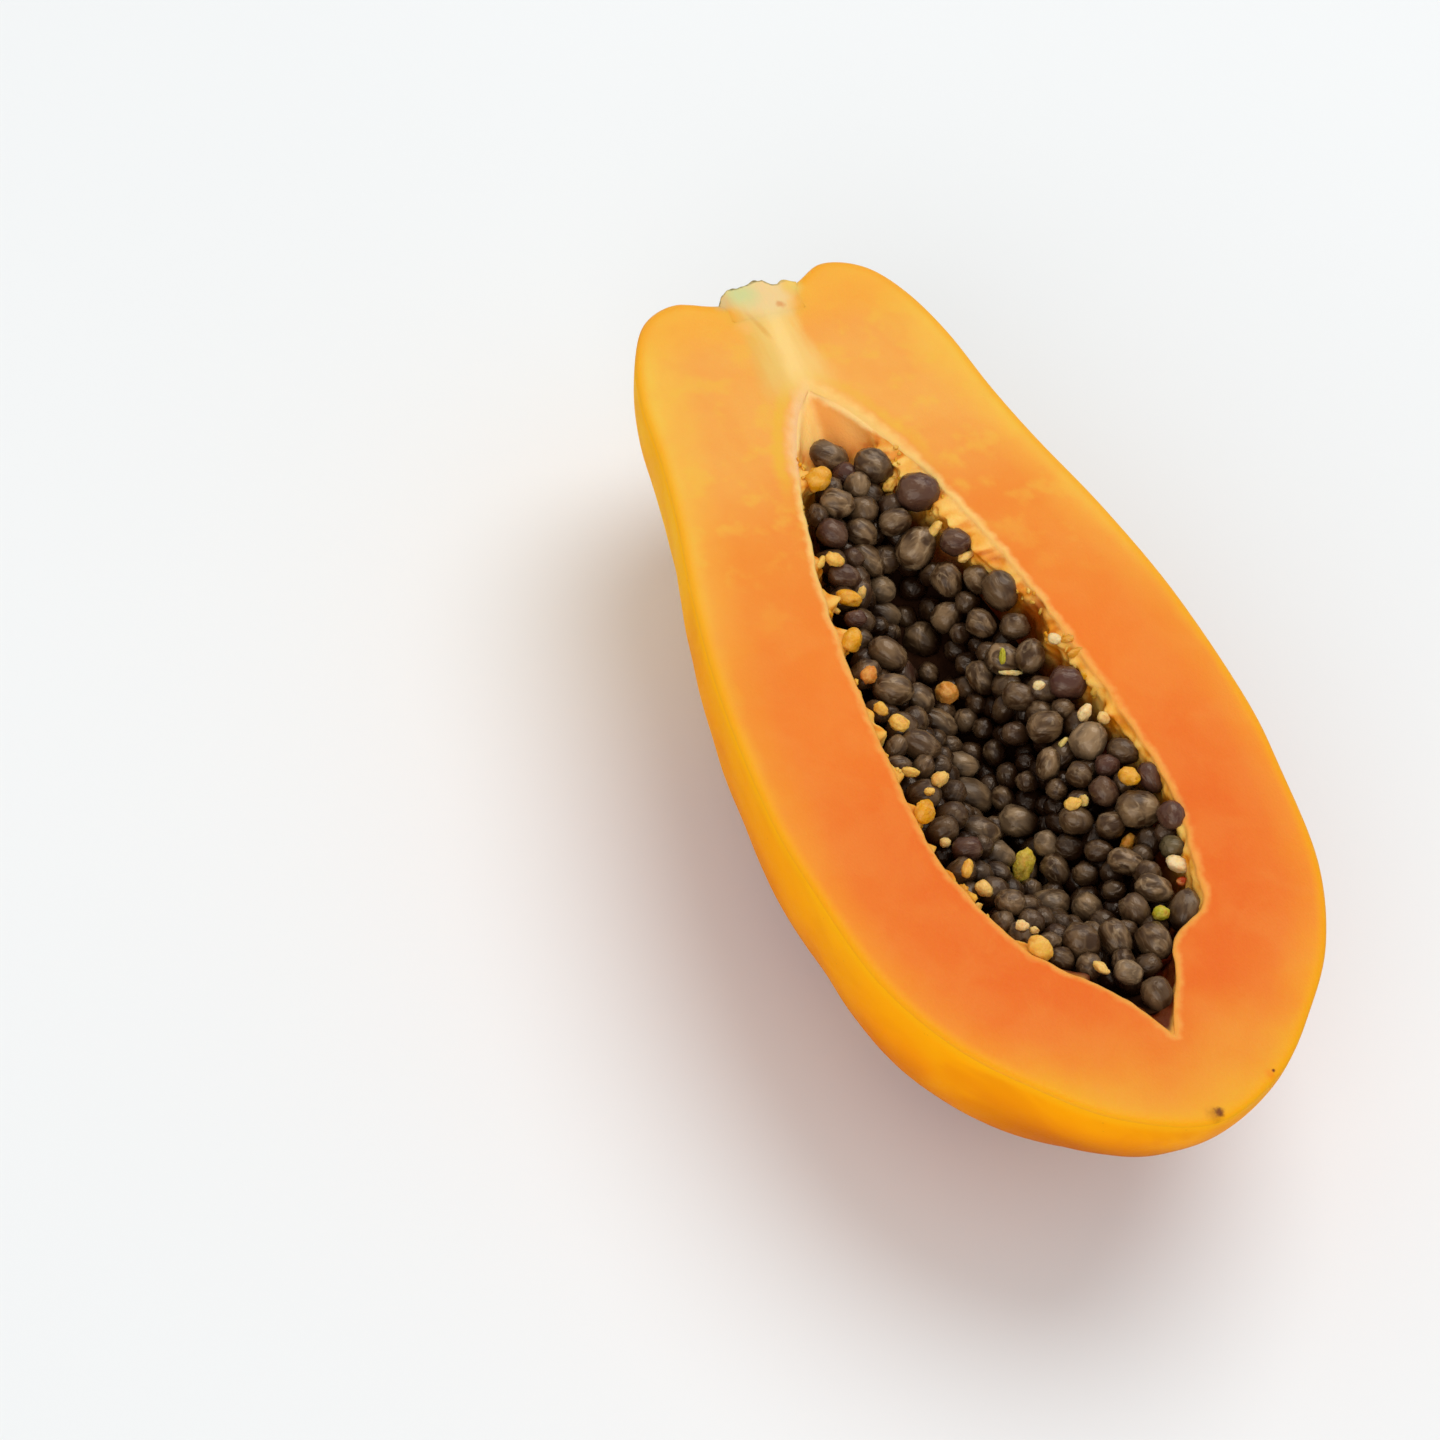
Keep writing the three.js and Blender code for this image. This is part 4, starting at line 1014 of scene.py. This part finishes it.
def turn_to(direction, spin):
    turned = Vector(direction).to_track_quat("Z", "Y").to_matrix() @ Matrix.Rotation(spin, 3, "Z")
    return tuple(turned.to_euler())


def sight(right, up):
    """The direction from the camera to a spot on the plane that faces it through SIGHT_MIDDLE."""
    spot = np.array(SIGHT_MIDDLE) + right * np.array(CAMERA_RIGHT) + up * np.array(CAMERA_UP)
    return (spot - EYE) / np.linalg.norm(spot - EYE)


def leaning(turn):
    """A direction on the plane that faces the camera, turned from its right by so many degrees."""
    angle = math.radians(turn)
    return math.cos(angle) * np.array(CAMERA_RIGHT) + math.sin(angle) * np.array(CAMERA_UP)


def surface(piece):
    return BVHTree.FromObject(piece, bpy.context.evaluated_depsgraph_get())


# ------------------------------------------------------------------ the seeds
def clearance(spot, r, spots, radii):
    """The least gap between a ball and others, as a share of their two radii together."""
    if not len(spots):
        return 9.0
    return (np.linalg.norm(np.asarray(spots) - spot, axis=1) / (np.asarray(radii) + r)).min()


def laid_seeds(fruit):
    """Seeds laid on the heap's top along the camera's sight lines, clear of one another."""
    ground = surface(fruit)
    laid, spots, radii = [], [], []
    shifts = sorted(np.arange(-14, 36) * 0.1, key=lambda shift: max(shift, -2.5 * shift))
    for right, up, long, wide, turn, sink, tone in sorted(SHOWN_SEEDS, key=lambda seed: seed[5]):
        way = sight(right, up)
        r = (long + 2 * wide) / 6
        hit = ground.ray_cast(Vector(CAMERA_PLACE), Vector(way))[3]
        furthest = hit * 1000 - SHOWN_ON_WALL * r if hit else math.inf
        reach = (2.0 - EYE[2]) / way[2]
        while reach < furthest:
            x, y, z = EYE + way * reach
            if (z - bed_level(x, y)) * bed_steepness(x, y) + r <= SHOWN_PROUD - sink:
                break
            reach += 0.15
        reach = min(reach, furthest)
        free = (shift for shift in shifts
                if clearance(EYE + way * (reach + shift), r, spots, radii) >= SHOWN_CLOSENESS)
        spots.append(EYE + way * (reach + next(free, 0.0)))
        radii.append(r)
        laid.append((spots[-1], r, leaning(turn), long, wide, tone))
    return laid


def in_front(spot, r, shown):
    """Whether a seed would hide one of the shown seeds from the camera."""
    for other, other_r in shown:
        far = np.linalg.norm(other - EYE)
        way = (other - EYE) / far
        along = (spot - EYE) @ way
        off = np.linalg.norm(spot - EYE - along * way)
        if along < far and off < r + FILLING_COVER * other_r:
            return True
    return False


def filling_seeds(laid):
    """Seeds dropped at random under and between the laid ones, the shallow ones first."""
    shown = [(seed[0], seed[1]) for seed in laid]
    spots, radii = [seed[0] for seed in laid], [seed[1] for seed in laid]
    low = cavity_table[-1, 1]
    tries = []
    for along, across, down, size in rng.uniform(size=(FILLING_TRIES, 4)):
        y = low + (SEED_TOP - low) * along
        half_width, slope = cavity_at(y)
        x = half_width * (2 * across - 1)
        z = -half_width * CAVITY_DEPTH_RATIO * down
        r = FILLING_RADIUS + FILLING_SPREAD * (2 * size - 1)
        under = (bed_level(x, y) - z) * bed_steepness(x, y) - r
        room = (half_width - math.hypot(x, z / CAVITY_DEPTH_RATIO)) / math.sqrt(1 + slope * slope)
        clings = pulp_depth(x, y) * ease((z + 12) / 8)
        if FILLING_SINK <= under <= FILLING_DEPTH and room >= r * 0.9 + clings:
            tries.append((under, x, y, z, r))
    kept = []
    for _, x, y, z, r in sorted(tries):
        spot = np.array((x, y, z))
        if clearance(spot, r, spots, radii) >= FILLING_CLOSENESS and not in_front(spot, r, shown):
            spots.append(spot)
            radii.append(r)
            kept.append((spot, r))
    return kept


def seeds_piece(material, fruit):
    rows = []
    laid = laid_seeds(fruit)
    for spot, r, lean, long, wide, tone in laid:
        turn = turn_to(lean + rng.normal(size=3) * 0.12, rng.uniform(0, 2 * math.pi))
        girth = SHOWN_SWELL * wide / 2
        size = (girth, girth * rng.uniform(0.94, 1.0), SHOWN_SWELL * long / 2)
        rows.append({"place": spot, "turn": turn, "size": size, "tone": tone + rng.uniform(-0.04, 0.04)})
    for spot, r in filling_seeds(laid):
        away = np.array((spot[0], 0.0, spot[2])) / max(math.hypot(spot[0], spot[2]), 1e-6)
        direction = away * 0.75 + rng.normal(size=3) * 0.55
        turn = turn_to(direction / np.linalg.norm(direction), rng.uniform(0, 2 * math.pi))
        girth = r * rng.uniform(0.93, 1.01)
        size = (girth, girth * rng.uniform(0.9, 1.0), r * 1.18)
        # Painted shade: the seeds underneath get only middle to dark tones, as they lie under the others.
        rows.append({"place": spot, "turn": turn, "size": size, "tone": rng.uniform(0.4, 0.84)})
    piece = grown("seeds", rows, {
        "Side Points": 5, "Length": 1.02, "Taper": 0.1, "Lump Height": 0.13, "Lump Scale": 1.4,
        "Random Seed": 3, "Material": material})
    shade_by_depth(piece)
    return piece


def shade_by_depth(piece):
    """Keeps on each point its painted shade, from how deep it lies in the heap: 0 at the top and 1 in the
    dark.
    """
    where = np.empty(len(piece.data.vertices) * 3, np.float32)
    piece.data.vertices.foreach_get("co", where)
    deep = []
    for x, y, z in where.reshape(-1, 3) * 1000 - OFFSET:
        under = (min(bed_level(x, y), 0.0) - 0.3 - z) / 5.0
        if y > SEED_TOP - 6:
            under = min(under, (-z - 1.0) / 9.0)
        valley = max(0.0, (-z - 4.5) / 13.0)
        deep.append(min(1.0, max(0.0, 0.9 * ease(under) + 0.25 * valley)))
    layer = piece.data.attributes.new("deep", "FLOAT", "POINT")
    layer.data.foreach_set("value", np.array(deep, np.float32))


def core_piece(material):
    """The dark mass under the seeds that show, its near black colour painted shade for the hollow under
    them.
    """
    across = np.linspace(-1, 1, 41)
    ys = np.linspace(cavity_table[-1, 1] + 6, SEED_TOP - 2, 90)
    top, bottom = [], []
    for y in ys:
        w = max(cavity_at(y)[0] * CORE_SHARE, 0.5)
        deep = w * CAVITY_DEPTH_RATIO
        edge = -min(CORE_EDGE, deep * 0.9)
        reach = w * math.sqrt(1 - (edge / deep) ** 2)
        for u in across:
            x = reach * u
            floor = -deep * math.sqrt(max(0.0, 1 - (x / w) ** 2))
            lowest = min(bed_level(x + way, y) for way in CORE_REACH)
            rounded = 1 - u * u
            level = max(floor + CORE_LEAST * rounded, min(lowest - CORE_UNDER, edge + 2 * rounded))
            top.append((x, y, level))
            bottom.append((x, y, floor))
    rows, columns = len(ys), len(across)
    faces = grid_faces(rows, columns, 0) + grid_faces(rows, columns, rows * columns, True)
    for row in (0, rows - 1):
        for a in range(row * columns, row * columns + columns - 1):
            b = a + rows * columns
            faces.append((a, a + 1, b + 1, b))
    return piece_from("seed_core", np.array(top + bottom), faces, (material,))


# ------------------------------------------------------------------ loose pulp and odd bits
def bits_piece(material, grounds):
    """Scraps of pulp and unripe seeds that lie on the seeds and along the wall."""
    grounds = [surface(ground) for ground in grounds]
    rows = []
    for right, up, long, wide, turn, ripe in BITS:
        reach = BIT_REST * wide
        tries = [(0, 0)] + [(reach * math.cos(a), reach * math.sin(a)) for a in BIT_TURNS]
        ways = [Vector(sight(right + across, up + along)) for across, along in tries]
        hits = [ground.ray_cast(Vector(CAMERA_PLACE), way)[3] for ground in grounds for way in ways]
        nearest_hit = min(hit for hit in hits if hit is not None)
        where = EYE + sight(right, up) * (nearest_hit * 1000 - wide * BIT_LIFT)
        where[2] = min(where[2], BIT_TOP)
        rows.append({
            "place": where,
            "turn": turn_to(leaning(turn) + rng.normal(size=3) * 0.15, rng.uniform(0, math.pi)),
            "size": (wide / 2, wide / 2 * 0.85, long / 2), "ripeness": ripe, "tone": rng.uniform()})
    return grown("pulp_bits", rows, {
        "Side Points": 8, "Length": 1.0, "Taper": 0.12, "Lump Height": 0.2, "Lump Scale": 1.9,
        "Random Seed": 8, "Material": material})


def crumbs_piece(material, fruit):
    """Crumbs of pulp half sunk in the wall under the rim."""
    spots = []
    for face in fruit.data.polygons:
        x, y, z = np.array(face.center) * 1000 - OFFSET
        low = CRUMBS_FROM if x < 0 else CRUMBS_FROM_RIGHT
        if face.material_index == 2 and low < y < SEED_TOP - 1 and -4.0 < z < -0.7:
            spots.append((x, y, z))
    rows = []
    for i in rng.choice(len(spots), CRUMBS, replace=False):
        turn = turn_to(rng.normal(size=3), rng.uniform(0, math.pi))
        size = 0.3 + 0.5 * rng.uniform() ** 2
        rows.append({
            "place": spots[i], "turn": turn,
            "size": (size, size * rng.uniform(0.5, 0.9), size * rng.uniform(1.0, 2.2)),
            "ripeness": rng.choice((0.5, 0.54, 0.58, 0.61, 0.66)), "tone": rng.uniform()})
    return grown("pulp_crumbs", rows, {
        "Side Points": 4, "Length": 1.0, "Taper": 0.15, "Lump Height": 0.35, "Lump Scale": 1.8,
        "Random Seed": 21, "Material": material})


# ------------------------------------------------------------------ the stub of the stem
def stem_piece(material):
    """The stub: a half round rod with a torn end, its cut side level with the flesh."""
    end_x, end_y = np.array(STUB_END).T
    angle = np.linspace(0, -math.pi, 49)
    back = np.linspace(-1, 1, 41)[1:]
    across = np.concatenate((np.cos(angle), back))
    down = np.concatenate((np.sin(angle), 0 * back))
    # Rings from a point in the foot, up the rod and in to a point in the middle of the torn end.
    rise = np.concatenate(([0], np.linspace(0, 1, 34), np.ones(11)))[:, None]
    shrink = np.concatenate(([0], np.ones(34), np.linspace(1, 0, 12)[1:]))[:, None]
    girth = np.interp(rise, (0, 0.1, 0.4, 0.8, 1.0), (0.55, 0.86, 1.0, 1.0, 0.98)) * STUB_RADIUS
    x = STUB_MIDDLE + girth * across * STUB_SPREAD * shrink
    z = STUB_CORE + (girth * down - STUB_CORE) * shrink
    end = np.interp(x, end_x, end_y) - 0.5 * (z / STUB_RADIUS) ** 2
    rings = np.stack((x, STUB_FOOT + rise * (end - STUB_FOOT), z), -1)
    points = rings.reshape(-1, 3)
    points[:, 1] += 0.3 * scatter(points, 1.1, 11.0) * smooth((points[:, 1] - 91) / 1.5)
    side_way = STUB_RADIUS * STUB_SPREAD - np.abs(points[:, 0] - STUB_MIDDLE)
    inside = np.minimum(points[:, 1] - STUB_FOOT, side_way)
    sunk = STUB_RISE * (1 - smooth(inside / STUB_BLEND)) * smooth((92.5 - points[:, 1]) / 1.5)
    points[:, 2] = np.minimum(points[:, 2], 0.05 - sunk)
    to_end = np.interp(points[:, 0], end_x, end_y) - points[:, 1]
    faces = grid_faces(*rings.shape[:2], 0)
    return piece_from("stem_end", points, faces, (material,), values={"to_end": to_end})


# ------------------------------------------------------------------ room
def floor_looks(nodes):
    place = nodes.add("ShaderNodeTexCoord", out="Object")
    soft = nodes.add("ShaderNodeTexNoise", {"Vector": place, "Scale": 3.0})
    colour = nodes.mixed(nodes.ranged(soft, 0.3, 0.7), (0.83, 0.85, 0.855, 1), (0.845, 0.865, 0.87, 1))
    return {"Base Color": colour, "Roughness": 0.8}


def floor_piece():
    mesh = bpy.data.meshes.new("floor")
    side = 4.0
    mesh.from_pydata([(-side, -side, 0), (side, -side, 0), (side, side, 0), (-side, side, 0)], [],
                     [(0, 1, 2, 3)])
    mesh.materials.append(shader("pale_floor", floor_looks))
    return into_scene("floor", mesh)


def area_light(name, place, aim, size, power):
    data = bpy.data.lights.new(name, "AREA")
    data.shape = "DISK"
    data.size = size
    data.energy = power
    lamp = into_scene(name, data)
    lamp.location = place
    lamp.rotation_euler = (Vector(aim) - Vector(place)).to_track_quat("-Z", "Y").to_euler()


def studio():
    world = bpy.data.worlds.new("soft_studio")
    world.use_nodes = True
    background = world.node_tree.nodes["Background"].inputs
    background["Color"].default_value = (1, 1, 1, 1)
    background["Strength"].default_value = 0.55
    bpy.context.scene.world = world
    area_light("key", (0.5, 0.45, 1.45), (0, 0, 0.03), 1.3, 13.0)
    area_light("fill", (-1.0, -1.0, 0.8), (0, 0, 0.03), 1.4, 9.0)
    bpy.context.scene.view_settings.view_transform = "Standard"


def camera():
    data = bpy.data.cameras.new("camera")
    data.lens = CAMERA_LENS
    data.sensor_width = 36.0
    data.clip_start = 0.01
    viewer = into_scene("camera", data)
    columns = Matrix((CAMERA_RIGHT, CAMERA_UP, CAMERA_BACK)).transposed()
    viewer.matrix_world = Matrix.Translation(CAMERA_PLACE) @ columns.to_4x4()
    bpy.context.scene.camera = viewer


# ------------------------------------------------------------------ all together
fruit = fruit_piece([shader("papaya_flesh", flesh_looks), shader("papaya_skin", skin_looks),
                     shader("cavity_wall", wall_looks)])
seeds = seeds_piece(shader("wet_seed", seed_looks), fruit)
core = core_piece(shader("painted_shade_between_seeds", painted_shade_core_looks))
pulp = shader("loose_pulp", pulp_looks)
bits = bits_piece(pulp, (seeds, fruit, core))
crumbs = crumbs_piece(pulp, fruit)
stem = stem_piece(shader("cut_stem", stem_looks))
floor = floor_piece()
studio()
camera()

for piece in (fruit, seeds, core, bits, crumbs, stem):
    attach(piece, "root")
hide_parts("flesh")
for piece in (seeds, core, bits, crumbs):
    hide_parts("seed_bed")
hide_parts("stem_stub")
